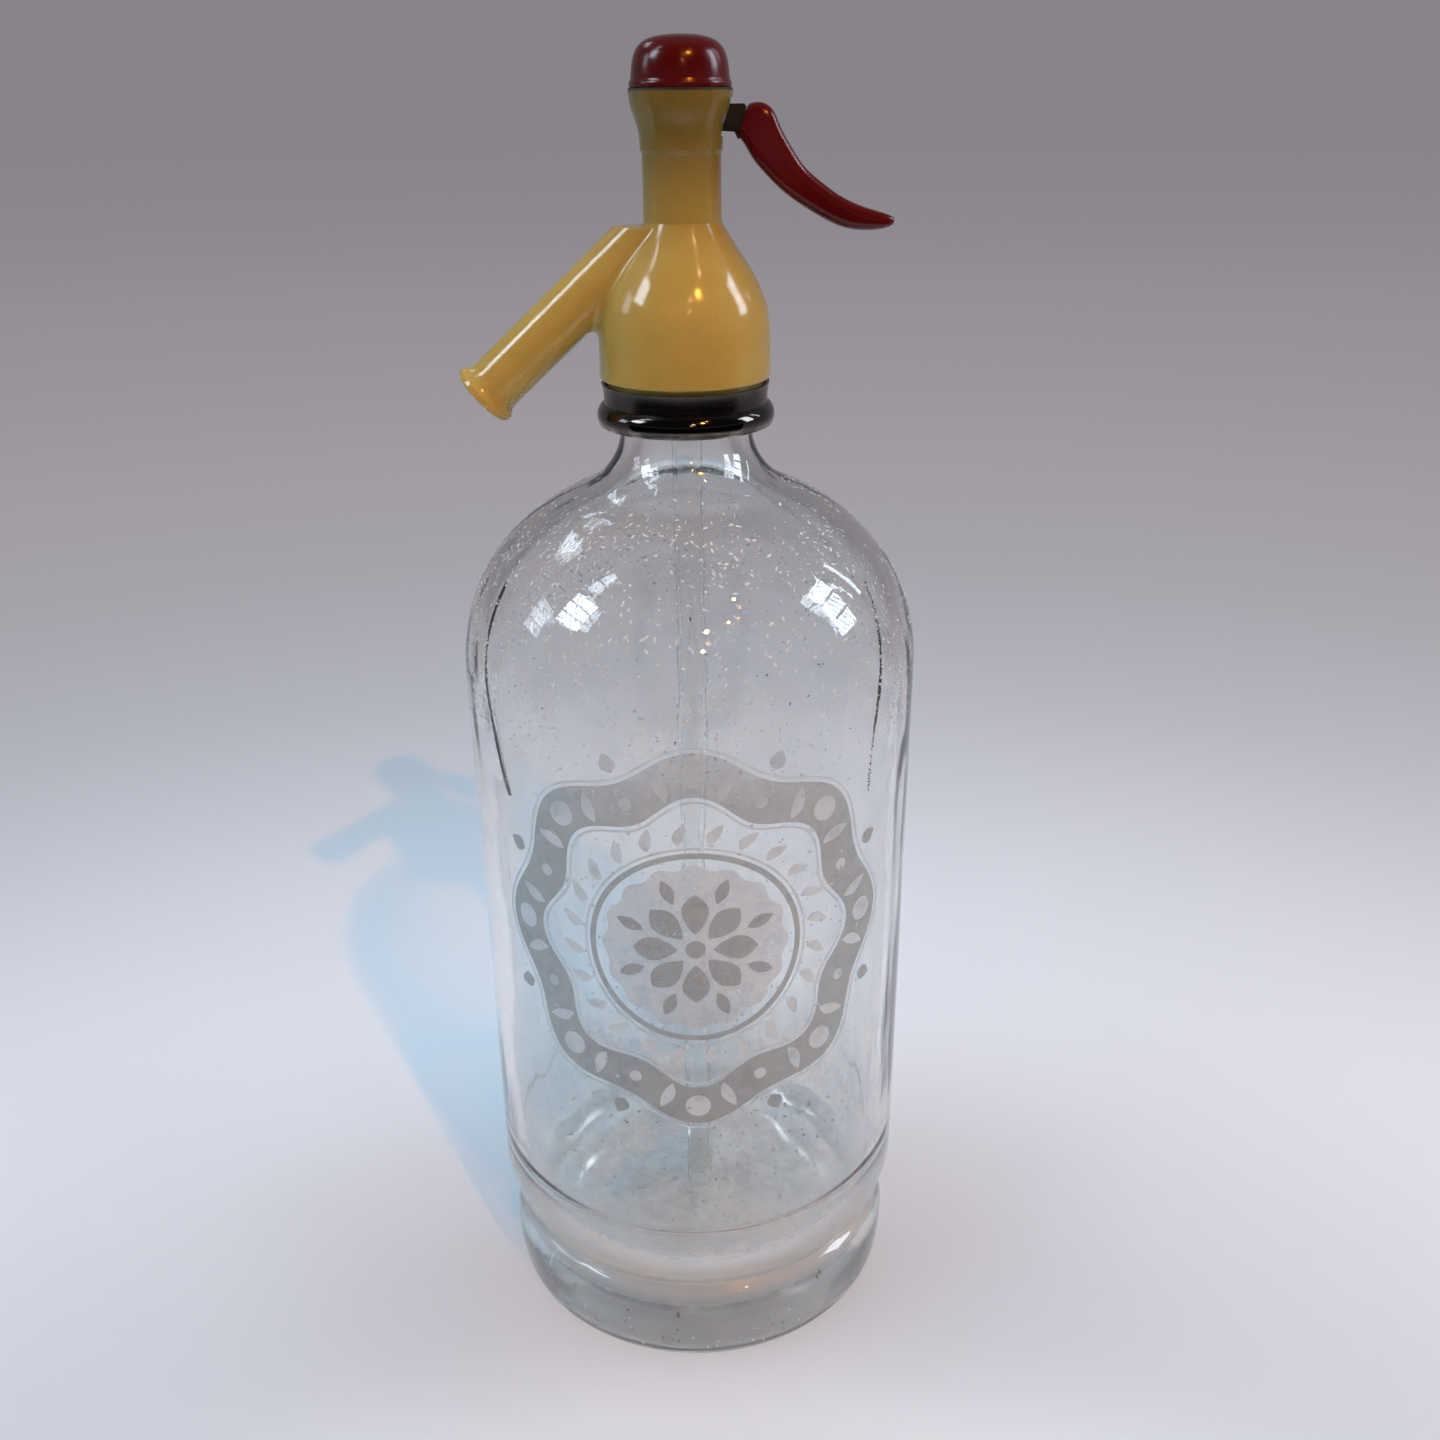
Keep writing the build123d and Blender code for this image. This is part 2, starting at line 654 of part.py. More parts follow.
def lever_arm():
    """The metal arm: pinned in the flare, forked round the spindle, with a round-topped nose."""
    nose_z = arm_top_z - arm_nose_radius
    nose_low = nose_z - arm_nose_radius
    heel = [(pin_x + x, pin_z + z) for x, z in arm_heel]
    outline = Polyline(
        (0, arm_top_z),
        (pin_x + arm_top_reach, arm_top_z),
        *heel,
        (pin_x, pin_z - arm_half_height),
        (arm_taper_end, nose_low),
        (0, nose_low),
        close=True,
    )
    arm = extrude(make_face(Plane.XZ * outline), arm_width / 2, both=True)
    nose_frame = Plane(origin=(0, -arm_width / 2, nose_z), z_dir=(0, 1, 0))
    arm += round_bore(nose_frame, arm_nose_radius, arm_width)
    fork_round = fork_neck_radius + fork_gap
    cut_size = 6 * arm_nose_radius
    fork_cut = Box(cut_size, 2 * fork_round, cut_size, align=(Align.MAX, Align.CENTER, Align.CENTER))
    fork_cut += Cylinder(fork_round, cut_size)
    return arm - Pos(fork_end - fork_round, 0, nose_z) * fork_cut - pin_rod(pin_radius + pin_gap)


def lever_grip():
    return loft([grip_section(station) for station in grip_stations])


def main():
    os.makedirs("parts", exist_ok=True)
    front_half, back_half = split_ring_halves()
    arm = lever_arm() + lever_tongue()
    pieces = {
        "bottle": bottle(),
        "dip_tube": dip_tube(),
        "tube_bush": tube_bush(),
        "collar": collar(),
        "split_ring_front": front_half,
        "split_ring_back": back_half,
        "neck_washer": neck_washer(),
        "valve_body": valve_body(),
        "head": head(),
        "cap": cap(),
        "cap_washer": cap_washer(),
        "return_spring": return_spring(),
        "spindle": spindle(),
        "valve_washer": valve_washer(),
        "washer_screw": washer_screw(),
        "piston_seal": piston_seal(),
        "spring_cup": spring_cup(),
        "spindle_nut": spindle_nut(),
        "lever_arm": arm,
        "lever_grip": lever_grip() - arm,
        "lever_pin": pin_rod(pin_radius),
    }
    for name, shape in pieces.items():
        shape.label = name
        export_step(shape, os.path.join("parts", name + ".step"))
    print("pin axis at", round(pin_x, 3), round(pin_z, 3), "spring ends at", round(cap_ceiling_z, 3))
    print("spout mouth", spout_mouth, "out along", spout_axis, "bore length", spout_bore_length)


main()
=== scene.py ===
import bmesh
import bpy
from math import acos, atan2, cos, degrees, pi, radians, sin, sqrt
from mathutils import Matrix, Vector, noise


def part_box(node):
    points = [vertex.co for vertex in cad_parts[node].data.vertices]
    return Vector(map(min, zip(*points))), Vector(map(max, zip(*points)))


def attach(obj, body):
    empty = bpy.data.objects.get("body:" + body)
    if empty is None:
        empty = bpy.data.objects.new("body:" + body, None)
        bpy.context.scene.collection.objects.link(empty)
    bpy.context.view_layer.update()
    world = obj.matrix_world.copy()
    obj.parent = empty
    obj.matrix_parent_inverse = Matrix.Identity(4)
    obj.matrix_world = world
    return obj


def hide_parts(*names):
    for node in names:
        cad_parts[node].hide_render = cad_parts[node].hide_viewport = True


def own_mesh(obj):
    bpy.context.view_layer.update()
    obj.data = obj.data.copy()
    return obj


# A glass soda siphon with a plastic head, a plated neck ring and a thumb lever.
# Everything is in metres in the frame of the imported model; sizes given in
# millimetres are turned into metres by MM where the mesh is made.

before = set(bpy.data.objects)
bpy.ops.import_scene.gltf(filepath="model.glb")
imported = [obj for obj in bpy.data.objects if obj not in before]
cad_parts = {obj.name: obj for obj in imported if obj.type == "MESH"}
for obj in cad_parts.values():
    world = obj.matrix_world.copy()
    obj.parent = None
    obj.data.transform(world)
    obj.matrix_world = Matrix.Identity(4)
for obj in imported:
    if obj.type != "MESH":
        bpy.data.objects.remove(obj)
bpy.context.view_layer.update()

MM = 0.001

# ---- Camera
CAMERA_PLACE = Vector((0.0, -0.3197, 0.3011))
CAMERA_PITCH = 23.96  # degrees below level
CAMERA_YAW = 1.27
CAMERA_ROLL = -0.51
CAMERA_LENS = 35.1
SENSOR_WIDTH = 36.0

# ---- Bottle, in millimetres (radii about the axis, heights over the floor)
BODY_RADIUS = 54.0
FOOT_INSET = 1.7
FOOT_WIDEST = 11.5
FOOT_EDGE_ROUND = 1.9
FOOT_RING_WIDTH = 5.4
UNDERSIDE_HOLLOW = 4.0
GROOVE_DEPTH = 6.8
GROOVE_DIP = 0.35  # its rounded bottom lies this much deeper
HEEL_TOP = 36.1
HEEL_WIDTH = 13.7
HEEL_HEIGHT = 18.3
SHOULDER = 177.6
SHOULDER_ROUND = 42.9
CROWN_RISE = 3.73
NECK_RADIUS = 14.8
NECK_SWEEP = 15.3
GLASS_WALL = 4.8
NECK_BORE = 9.7
FLOOR = 10.5
FLOOR_CORNER_WIDTH = 27.2
FLOOR_CORNER_HEIGHT = 30.5
FLOOR_PUSH_UP = 2.0
INNER_STEP = 0.25  # the ring-shaped step in the inner wall over the floor's corner
SPLIT_RING_SEAT = 3.1  # from the foot of the ring up to the glass bead
BEAD_OVERHANG = 1.4
BEAD_HEIGHT = 4.0
BEAD_ROUND = 1.2
LIP_ROUND = 0.8
BOTTLE_SEGMENTS = 288

# ---- Dip tube, in millimetres
TUBE_RADIUS = 3.4
TUBE_BORE = 2.5
TUBE_END = (0.45, 0.35)  # how wide and how tall its lower end is rounded
TUBE_FLANGE_RADIUS = 4.3
TUBE_FLANGE_HEIGHT = 1.3
TUBE_SEGMENTS = 64

# ---- Return spring, in millimetres
WIRE_RADIUS = 0.45
SPRING_RADIUS = 3.9
SPRING_TURNS = 4.5

# ---- Etched ornament, in millimetres
ETCH_RADIUS = 54.08  # where its inner face wraps round the glass
ETCH_DEPTH = 0.03
ETCH_CENTRE = 127.0
FRAME_RADIUS = 41.0  # middle of the scalloped band
FRAME_LOBE = 2.3  # how far its lobes swing out and in
FRAME_LOBES = 8
FRAME_WIDTH = 10.4
CENTRE_RADIUS = 21.0  # the pale round field in the middle
LINE_WIDTH = 0.55
BAND_STEPS = 240
MOTIF_STEPS = 14

# ---- Wear and dirt on the glass, in millimetres
FLAKE_SIZE = 0.5
LIME_INSET = 0.06  # the film of lime lies this far inside the glass
LIME_TOP = 62.0  # it fades out below this height
CHIP_LOW, CHIP_HIGH = 168.0, 221.0  # the shoulder's nicks lie between these heights
DIRT_LINE_FOOT, DIRT_LINE_TOP = 155.0, 200.0  # a dark line runs up each side of the inner wall
DIRT_LINE_WIDTH = 1.0

# ---- Where the look of the glass changes: from one height to another, in metres
FOOT_GLASS = (0.018, 0.036)  # the warm tint of the thick foot ends here
HEEL_STARTS = (0.018, 0.022)  # the rubbed band round the heel
HEEL_ENDS = (0.028, 0.035)
FILM_ENDS = (0.130, 0.164)  # the last of the lime and its grit
ETCH_RUBBED = (0.150, 0.176)  # the etching is half worn away above this
FINE = 0.0001  # the depth of the finest relief


# ---- Node helpers
def darker(shade, share):
    return tuple(share * part for part in shade)


class Nodes:
    """Adds nodes to a tree. An input given a node or a socket is linked to it, and else set."""

    def __init__(self, tree):
        self.tree = tree

    def feed(self, made, inputs):
        for name, value in inputs.items():
            socket = made.inputs[name]
            if isinstance(value, bpy.types.Node):
                value = value.outputs[0]
            if isinstance(value, bpy.types.NodeSocket):
                self.tree.links.new(value, socket)
            else:
                socket.default_value = (*value, 1.0) if socket.type == "RGBA" else value

    def add(self, kind, inputs=None, **settings):
        """A new node. The kind of a shader node goes without its prefix."""
        made = self.tree.nodes.new(kind if "Node" in kind else "ShaderNode" + kind)
        for name, value in settings.items():
            setattr(made, name, value)
        self.feed(made, inputs or {})
        return made

    def math(self, operation, *values, clamp=False):
        return self.add("Math", dict(enumerate(values)), operation=operation, use_clamp=clamp)

    def times(self, first, *others):
        for other in others:
            first = self.math("MULTIPLY", first, other)
        return first

    def plus(self, first, second, clamp=False):
        return self.math("ADD", first, second, clamp=clamp)

    def minus(self, first, second):
        return self.math("SUBTRACT", first, second)

    def span(self, value, low, high, low_to=0.0, high_to=1.0, kind="LINEAR"):
        """Maps low..high of a value to low_to..high_to, held at both ends."""
        ends = {"Value": value, "From Min": low, "From Max": high, "To Min": low_to, "To Max": high_to}
        return self.add("MapRange", ends, interpolation_type=kind)

    def ease(self, *ends):
        """A span that starts and ends gently."""
        return self.span(*ends, kind="SMOOTHSTEP")

    def mix(self, factor, first, second, blend="MIX"):
        inputs = {0: factor, 6: first, 7: second}
        return self.add("Mix", inputs, data_type="RGBA", blend_type=blend).outputs[2]

    def vector(self, operation, inputs):
        return self.add("VectorMath", inputs, operation=operation)

    def length(self, vector):
        return self.vector("LENGTH", {0: vector}).outputs["Value"]

    def clouds(self, vector, scale, detail=2.0, roughness=0.5, distortion=0.0):
        """A noise from 0 to 1."""
        inputs = {"Vector": vector, "Scale": scale, "Detail": detail}
        return self.add("TexNoise", {**inputs, "Roughness": roughness, "Distortion": distortion})


def new_group(kind, name, given, gives):
    """An empty node group: its nodes and the sockets that it is given.

    A socket is named with its kind, or, if it takes a plain number, with its default."""
    tree = bpy.data.node_groups.new(name, kind + "NodeTree")
    for in_out, sockets in (("INPUT", given), ("OUTPUT", gives)):
        for label, value in sockets.items():
            word = value if isinstance(value, str) else "Float"
            socket = tree.interface.new_socket(label, in_out=in_out, socket_type="NodeSocket" + word)
            if word != value:
                socket.default_value = value
    nodes = Nodes(tree)
    return nodes, nodes.add("NodeGroupInput").outputs


# ---- Shared effects
def scratches_group():
    """Fine hairlines in three directions: a mask that is 1 in a scratch."""
    inputs = {"Vector": "Vector", "Scale": 400.0, "Amount": 0.5}
    nodes, given = new_group("Shader", "fine_scratches", inputs, {"Mask": "Float"})
    place = nodes.vector("SCALE", {0: given["Vector"], "Scale": given["Scale"]})
    total = None
    for turn in ((0.3, 0.1, 0.2), (1.2, 0.5, 0.9), (2.1, 1.3, 0.4)):
        drawn_out = {"Vector": place, "Rotation": turn, "Scale": (0.06, 1, 1)}
        lines = nodes.clouds(nodes.add("Mapping", drawn_out), 1.0, detail=1.0, distortion=0.4)
        thin = nodes.span(nodes.math("ABSOLUTE", nodes.minus(lines, 0.5)), 0.0, 0.012, 1.0, 0.0)
        total = thin if total is None else nodes.math("MAXIMUM", total, thin)
    patches = nodes.plus(nodes.clouds(place, 0.08), given["Amount"])
    kept = nodes.math("GREATER_THAN", patches, 0.95)
    nodes.add("NodeGroupOutput", {"Mask": nodes.times(total, kept)})
    return nodes.tree


def specks_group():
    """Scattered dots of dust or dirt: a mask that is 1 in a dot."""
    inputs = {"Vector": "Vector", "Scale": 500.0, "Size": 0.2, "Share": 0.3}
    nodes, given = new_group("Shader", "scattered_specks", inputs, {"Mask": "Float"})
    inputs = {"Vector": given["Vector"], "Scale": given["Scale"], "Randomness": 1.0}
    cells = nodes.add("TexVoronoi", inputs).outputs
    dot = nodes.math("LESS_THAN", cells["Distance"], given["Size"])
    pick = nodes.add("SeparateColor", {"Color": cells["Color"]})
    kept = nodes.math("LESS_THAN", pick, given["Share"])
    nodes.add("NodeGroupOutput", {"Mask": nodes.times(dot, kept)})
    return nodes.tree


def mottle_group():
    """Slow, cloudy variation from 0 to 1, with its contrast set outside."""
    inputs = {"Vector": "Vector", "Scale": 60.0, "Contrast": 2.0}
    nodes, given = new_group("Shader", "mottle", inputs, {"Value": "Float"})
    cloud = nodes.clouds(given["Vector"], given["Scale"], detail=4.0, roughness=0.6)
    swing = nodes.times(nodes.minus(cloud, 0.5), given["Contrast"])
    nodes.add("NodeGroupOutput", {"Value": nodes.plus(swing, 0.5, clamp=True)})
    return nodes.tree


SCRATCHES = scratches_group()
SPECKS = specks_group()
MOTTLE = mottle_group()


# ---- Materials
class Look(Nodes):
    """A node material in the making, with its Principled shader joined to its output."""

    def __init__(self, name):
        self.material = bpy.data.materials.new(name)
        self.material.use_nodes = True
        super().__init__(self.material.node_tree)
        self.tree.nodes.clear()
        self.shader = self.add("BsdfPrincipled")
        self.output = self.add("OutputMaterial", {"Surface": self.shader})
        self.place = self.add("TexCoord").outputs["Object"]

    def height(self):
        return self.add("SeparateXYZ", {"Vector": self.place}).outputs["Z"]

    def effect(self, group, **inputs):
        return self.add("Group", {"Vector": self.place, **inputs}, node_tree=group)

    def streaks(self, stretch, scale, detail, roughness=0.5):
        """A noise whose places are scaled by their own factor along each axis."""
        vector = self.vector("MULTIPLY", {0: self.place, 1: stretch})
        return self.clouds(vector, scale, detail, roughness)

    def shaders(self, factor, first, second):
        """Puts a mix of two shaders on the output."""
        both = self.add("MixShader", {0: factor, 1: first, 2: second})
        self.feed(self.output, {"Surface": both})

    def finish(self, inputs, relief, strength, depth):
        """Feeds the Principled shader, with the relief as its bump, and gives the material."""
        bump = self.add("Bump", {"Height": relief, "Strength": strength, "Distance": depth})
        self.feed(self.shader, {**inputs, "Normal": bump})
        return self.material


def clear_glass(name, tint, edge_tint, roughness, bend=1.51, rim=1.0):
    """Clear glass that lets shadow rays through, darker where they graze it.

    Rim is how much of the light gets through its outline as seen."""
    look = Look(name)
    height = look.height()
    inside = look.add("Attribute", attribute_name="inside").outputs["Fac"]
    outside = look.minus(1.0, inside)
    facing = look.add("LayerWeight", {"Blend": 0.5}).outputs["Facing"]
    low = look.ease(height, *FOOT_GLASS, 1.0, 0.0)

    # The foot is warmer, above all at its outline, and the heel's band is rubbed
    rubs = look.span(look.streaks((0.12, 0.12, 5.0), 160.0, 2.0), 0.3, 0.7, 0.5, 1.0)
    heel = look.times(look.ease(height, *HEEL_STARTS), look.ease(height, *HEEL_ENDS, 1.0, 0.0))
    heel = look.times(heel, look.times(outside, rubs))
    thick = look.times(low, look.ease(facing, 0.42, 0.78))
    tint = look.mix(low, tint, (0.975, 0.968, 0.942))
    tint = look.mix(heel, tint, (0.80, 0.79, 0.76))
    tint = look.mix(1.0, tint, look.ease(facing, 0.55, 0.85, 1.0, rim), blend="MULTIPLY")
    tint = look.mix(thick, tint, (0.68, 0.66, 0.57))

    haze = look.effect(MOTTLE, Scale=90.0, Contrast=2.5)
    rough = look.span(haze, 0.55, 1.0, roughness, roughness + 0.03)
    scratches = look.effect(SCRATCHES, Scale=260.0, Amount=0.42)
    rough = look.plus(rough, look.times(scratches, outside, 0.12))
    lime = look.ease(height, 0.4 * LIME_TOP * MM, LIME_TOP * MM, 0.22, 0.012)
    rough = look.plus(rough, look.times(inside, lime), clamp=True)

    fine = look.times(look.clouds(look.place, 900.0), 0.25)
    wrinkles = look.plus(look.streaks((1.0, 1.0, 0.12), 420.0, 3.0), fine)
    wrinkles = look.times(wrinkles, look.span(inside, 0.0, 1.0, 0.25, 1.0))
    moulded = look.times(look.clouds(look.place, 190.0, distortion=0.6), low, 1.4)
    wrinkles = look.plus(wrinkles, moulded)

    slant = look.times(look.ease(facing, 0.18, 0.5), look.minus(1.0, low))
    shade = look.mix(slant, (0.98, 0.984, 0.98), edge_tint)
    rays = look.add("LightPath").outputs
    passing = look.math("MAXIMUM", rays["Is Shadow Ray"], rays["Is Diffuse Ray"])
    look.shaders(passing, look.shader, look.add("BsdfTransparent", {"Color": shade}))
    depth = look.add("VolumeAbsorption", {"Color": (0.52, 0.52, 0.36), "Density": 2.0})
    look.feed(look.output, {"Volume": depth})
    inputs = {"Base Color": tint, "Roughness": rough, "IOR": bend, "Transmission Weight": 1.0}
    return look.finish(inputs, wrinkles, 0.04, 0.0006)


def matt_inputs(shade, roughness, opacity, gloss):
    return {"Base Color": shade, "Roughness": roughness, "Alpha": opacity, "Specular IOR Level": gloss}


def etched_glass(name, tone, alpha):
    """Acid-etched face of the glass: pale, matt and half clear, with worn spots."""
    look = Look(name)
    grain = look.clouds(look.place, 2600.0, detail=3.0, roughness=0.7)
    cloud = look.effect(MOTTLE, Scale=130.0, Contrast=2.2)
    rubbed = look.ease(look.height(), *ETCH_RUBBED, 1.0, 0.45)
    rubbed = look.times(rubbed, look.span(cloud, 0.0, 0.5, 0.7, 1.0))
    worn = look.span(look.effect(SPECKS, Scale=420.0, Size=0.22, Share=0.12), 0.0, 1.0, 1.0, 0.5)
    opacity = look.plus(alpha, look.times(look.minus(grain, 0.5), 0.2))
    opacity = look.math("MULTIPLY", look.times(opacity, rubbed), worn, clamp=True)
    shade = look.mix(cloud, darker(tone, 0.85), tone)
    return look.finish(matt_inputs(shade, 0.75, opacity, 0.3), grain, 0.25, FINE)


def lime_film(name):
    """Dried lime inside the bottle: a haze over the floor, thinning up the wall, with grit."""
    look = Look(name)
    height = look.height()
    cloud = look.effect(MOTTLE, Scale=48.0, Contrast=2.6)
    fading = look.ease(height, *FILM_ENDS, 1.0, 0.0)
    grit = look.times(look.effect(SPECKS, Scale=900.0, Size=0.3, Share=0.08), fading)
    low = look.ease(height, 0.35 * LIME_TOP * MM, LIME_TOP * MM, 0.34, 0.045)
    runs = look.span(look.streaks((1.0, 1.0, 0.08), 330.0, 3.0), 0.35, 0.7, -0.1, 0.2)
    spread = look.plus(look.span(cloud, 0.0, 1.0, 0.75, 1.15), runs)
    opacity = look.times(look.times(low, fading), spread)
    opacity = look.plus(opacity, look.times(grit, 0.16), clamp=True)
    shadow = look.add("LightPath").outputs["Is Shadow Ray"]
    opacity = look.times(opacity, look.span(shadow, 0.0, 1.0, 1.0, 0.06))
    shade = look.mix(grit, (0.87, 0.93, 0.96), (0.16, 0.14, 0.10))
    return look.finish(matt_inputs(shade, 0.85, opacity, 0.1), cloud, 0.1, FINE)


def flake(name, light, dark, alpha):
    """The matt face of a nick or a grain of dirt."""
    look = Look(name)
    cloud = look.clouds(look.place, 1500.0)
    opacity = look.span(cloud, 0.3, 0.7, 0.6 * alpha, alpha)
    shade = look.mix(cloud, dark, light)
    return look.finish(matt_inputs(shade, 0.9, opacity, 0.1), cloud, 0.4, FINE)


def gloss_plastic(name, light, dark, roughness, gloss, subsurface, painted_top_shade=None):
    """Aged glossy moulding: cloudy colour, faint hairlines and a little dust.

    Painted top shade, if given, is a darker colour that it turns to as painted shade, and the two
    heights between which it turns."""
    look = Look(name)
    cloud = look.effect(MOTTLE, Scale=55.0, Contrast=2.4)
    shade = look.mix(cloud, dark, light)
    # Painted shade: the upper part turns darker between two heights.
    if painted_top_shade:
        shade = look.mix(look.ease(look.height(), *painted_top_shade[1:]), shade, painted_top_shade[0])
    dust = look.times(look.effect(SPECKS, Scale=620.0, Size=0.14, Share=0.06), 0.2)
    shade = look.mix(dust, shade, (0.06, 0.045, 0.02))
    rough = look.span(cloud, 0.0, 1.0, roughness, roughness * 1.5)
    rough = look.plus(rough, look.times(look.effect(SCRATCHES, Scale=500.0, Amount=0.46), 0.06))
    inputs = {"Base Color": shade, "Roughness": rough, "IOR": 1.46, "Specular IOR Level": gloss}
    inputs.update({"Subsurface Weight": subsurface, "Subsurface Scale": 0.005})
    inputs["Subsurface Radius"] = (1.0, 0.55, 0.2)
    return look.finish(inputs, look.clouds(look.place, 75.0), 0.06, 0.0005)


def worn_metal(name, shade, rough_below, rough_above, rubbed=(-1.0, -0.9)):
    """Worn plating or metal: fine turning lines, clouded patches and a lighter lower rim, which is
    rubbed plating and also a painted reflection of the pale floor.

    The lighter rim reaches up to between two heights, and the roughness changes just over it."""
    look = Look(name)
    height = look.height()
    lines = look.streaks((0.25, 0.25, 14.0), 260.0, 3.0, 0.7)
    cloud = look.effect(MOTTLE, Scale=160.0, Contrast=2.6)
    # The lower rim turns lighter and brassy: rubbed plating, and a painted reflection of the pale
    # floor below it.
    worn = look.ease(height, *rubbed, 1.0, 0.0)
    worn = look.math("MULTIPLY", worn, look.span(cloud, 0.25, 0.7), clamp=True)
    tone = look.mix(look.times(cloud, 0.6), shade, darker(shade, 0.5))
    tone = look.mix(look.times(worn, 0.6), tone, (0.58, 0.52, 0.42))
    top = rubbed[1]
    rough = look.span(height, top + 0.0018, top + 0.0026, rough_below, rough_above)
    rough = look.times(rough, look.span(lines, 0.2, 0.8, 0.7, 1.4))
    rough = look.plus(rough, look.times(worn, 0.12))
    return look.finish({"Base Color": tone, "Metallic": 1.0, "Roughness": rough}, lines, 0.12, 0.00006)


def rubber(name):
    look = Look(name)
    cloud = look.effect(MOTTLE, Scale=300.0, Contrast=2.0)
    shade = look.mix(cloud, (0.012, 0.011, 0.011), (0.035, 0.032, 0.03))
    rough = look.span(cloud, 0.0, 1.0, 0.5, 0.8)
    return look.finish({"Base Color": shade, "Roughness": rough}, cloud, 0.3, FINE)


# ---- Meshes
def in_scene(name, data):
    """An object of the data, put in the scene."""
    made = bpy.data.objects.new(name, data)
    bpy.context.scene.collection.objects.link(made)
    return made


def bare_mesh(name, vertices, faces):
    mesh = bpy.data.meshes.new(name)
    mesh.from_pydata(vertices, [], faces)
    return mesh


def piece_from(name, vertices, faces, material, sharp=None):
    """A smooth mesh object at the origin. Edges over the sharp angle, in degrees, stay sharp."""
    mesh = bare_mesh(name, vertices, faces)
    mesh.validate()
    mesh.shade_smooth()
    if sharp is not None:
        mesh.set_sharp_from_angle(angle=radians(sharp))
    mesh.materials.append(material)
    return in_scene(name, mesh)


def arc(centre, reach, first, last, steps):
    """Points of a circular or elliptic arc in the (radius, height) plane, angles in degrees."""
    wide, tall = reach if isinstance(reach, tuple) else (reach, reach)
    angles = [radians(first + (last - first) * i / steps) for i in range(steps + 1)]
    return [(centre[0] + wide * cos(a), centre[1] + tall * sin(a)) for a in angles]


def straight(start, end, steps):
    return [tuple(a + (b - a) * i / steps for a, b in zip(start, end)) for i in range(steps + 1)]


def without_repeats(points, nearest=0.02):
    kept = [points[0]]
    for point in points[1:]:
        if abs(point[0] - kept[-1][0]) + abs(point[1] - kept[-1][1]) > nearest:
            kept.append(point)
    return kept


def clamped(value):
    return min(1.0, max(0.0, value))


def spot_at(reach, angle, height):
    return (reach * cos(angle) * MM, reach * sin(angle) * MM, height * MM)


def turned_piece(name, outline, segments, material, shift, sharp, outside_count=None):
    """Turns an outline of (radius, height) in millimetres; a zero radius becomes a pole.

    The shift of a point outward is in millimetres. The points of the outline after
    outside_count are marked as inside."""
    vertices, rings = [], []
    for index, (radius, height) in enumerate(outline):
        first = len(vertices)
        if radius < 1e-6:
            vertices.append((0.0, 0.0, height * MM))
        else:
            for k in range(segments):
                angle = 2 * pi * k / segments
                reach = radius + shift(radius, height, angle, index)
                vertices.append(spot_at(reach, angle, height))
        rings.append(range(first, len(vertices)))
    pairs = list(zip(rings, rings[1:]))
    if len(rings[0]) > 1:
        pairs.append((rings[-1], rings[0]))
    faces = []
    for low, high in pairs:
        for a in range(segments):
            b = (a + 1) % segments
            if len(low) == 1:
                faces.append((low[0], high[b], high[a]))
            elif len(high) == 1:
                faces.append((low[a], low[b], high[0]))
            else:
                faces.append((low[a], low[b], high[b], high[a]))
    made = piece_from(name, vertices, faces, material, sharp)
    if outside_count is not None:
        first = rings[outside_count][0]
        inside = made.data.attributes.new("inside", "FLOAT", "POINT")
        inside.data.foreach_set("value", [float(i >= first) for i in range(len(vertices))])
    return made


def glass_curve(wall, bore):
    """Shoulder, crown and neck sweep of a skin that lies the given wall inside the glass."""
    shoulder_centre = BODY_RADIUS - SHOULDER_ROUND
    crown_round = (shoulder_centre**2 + CROWN_RISE**2) / (2 * CROWN_RISE) + SHOULDER_ROUND
    crown_centre = SHOULDER + SHOULDER_ROUND + CROWN_RISE - crown_round
    shoulder_angle = degrees(atan2(SHOULDER - crown_centre, shoulder_centre))
    skin_crown = crown_round - wall
    sweep = NECK_SWEEP + NECK_RADIUS - bore
    sweep_x = bore + sweep
    sweep_z = crown_centre + sqrt((skin_crown + sweep) ** 2 - sweep_x**2)
    crown_end = degrees(atan2(sweep_z - crown_centre, sweep_x))
    points = arc((shoulder_centre, SHOULDER), SHOULDER_ROUND - wall, 0, shoulder_angle, 30)
    points += arc((0, crown_centre), skin_crown, shoulder_angle, crown_end, 8)
    points += arc((sweep_x, sweep_z), sweep, 180 + crown_end, 180, 16)
    return points


def rounded_corner(before, corner, after, radius, steps=5):
    """Points of a fillet at a square corner of the outline."""
    into = (Vector(before) - Vector(corner)).normalized()
    out = (Vector(after) - Vector(corner)).normalized()
    centre = Vector(corner) + (into + out) * radius
    turns = [pi / 2 * i / steps for i in range(steps + 1)]
    return [tuple(centre - out * radius * cos(a) - into * radius * sin(a)) for a in turns]


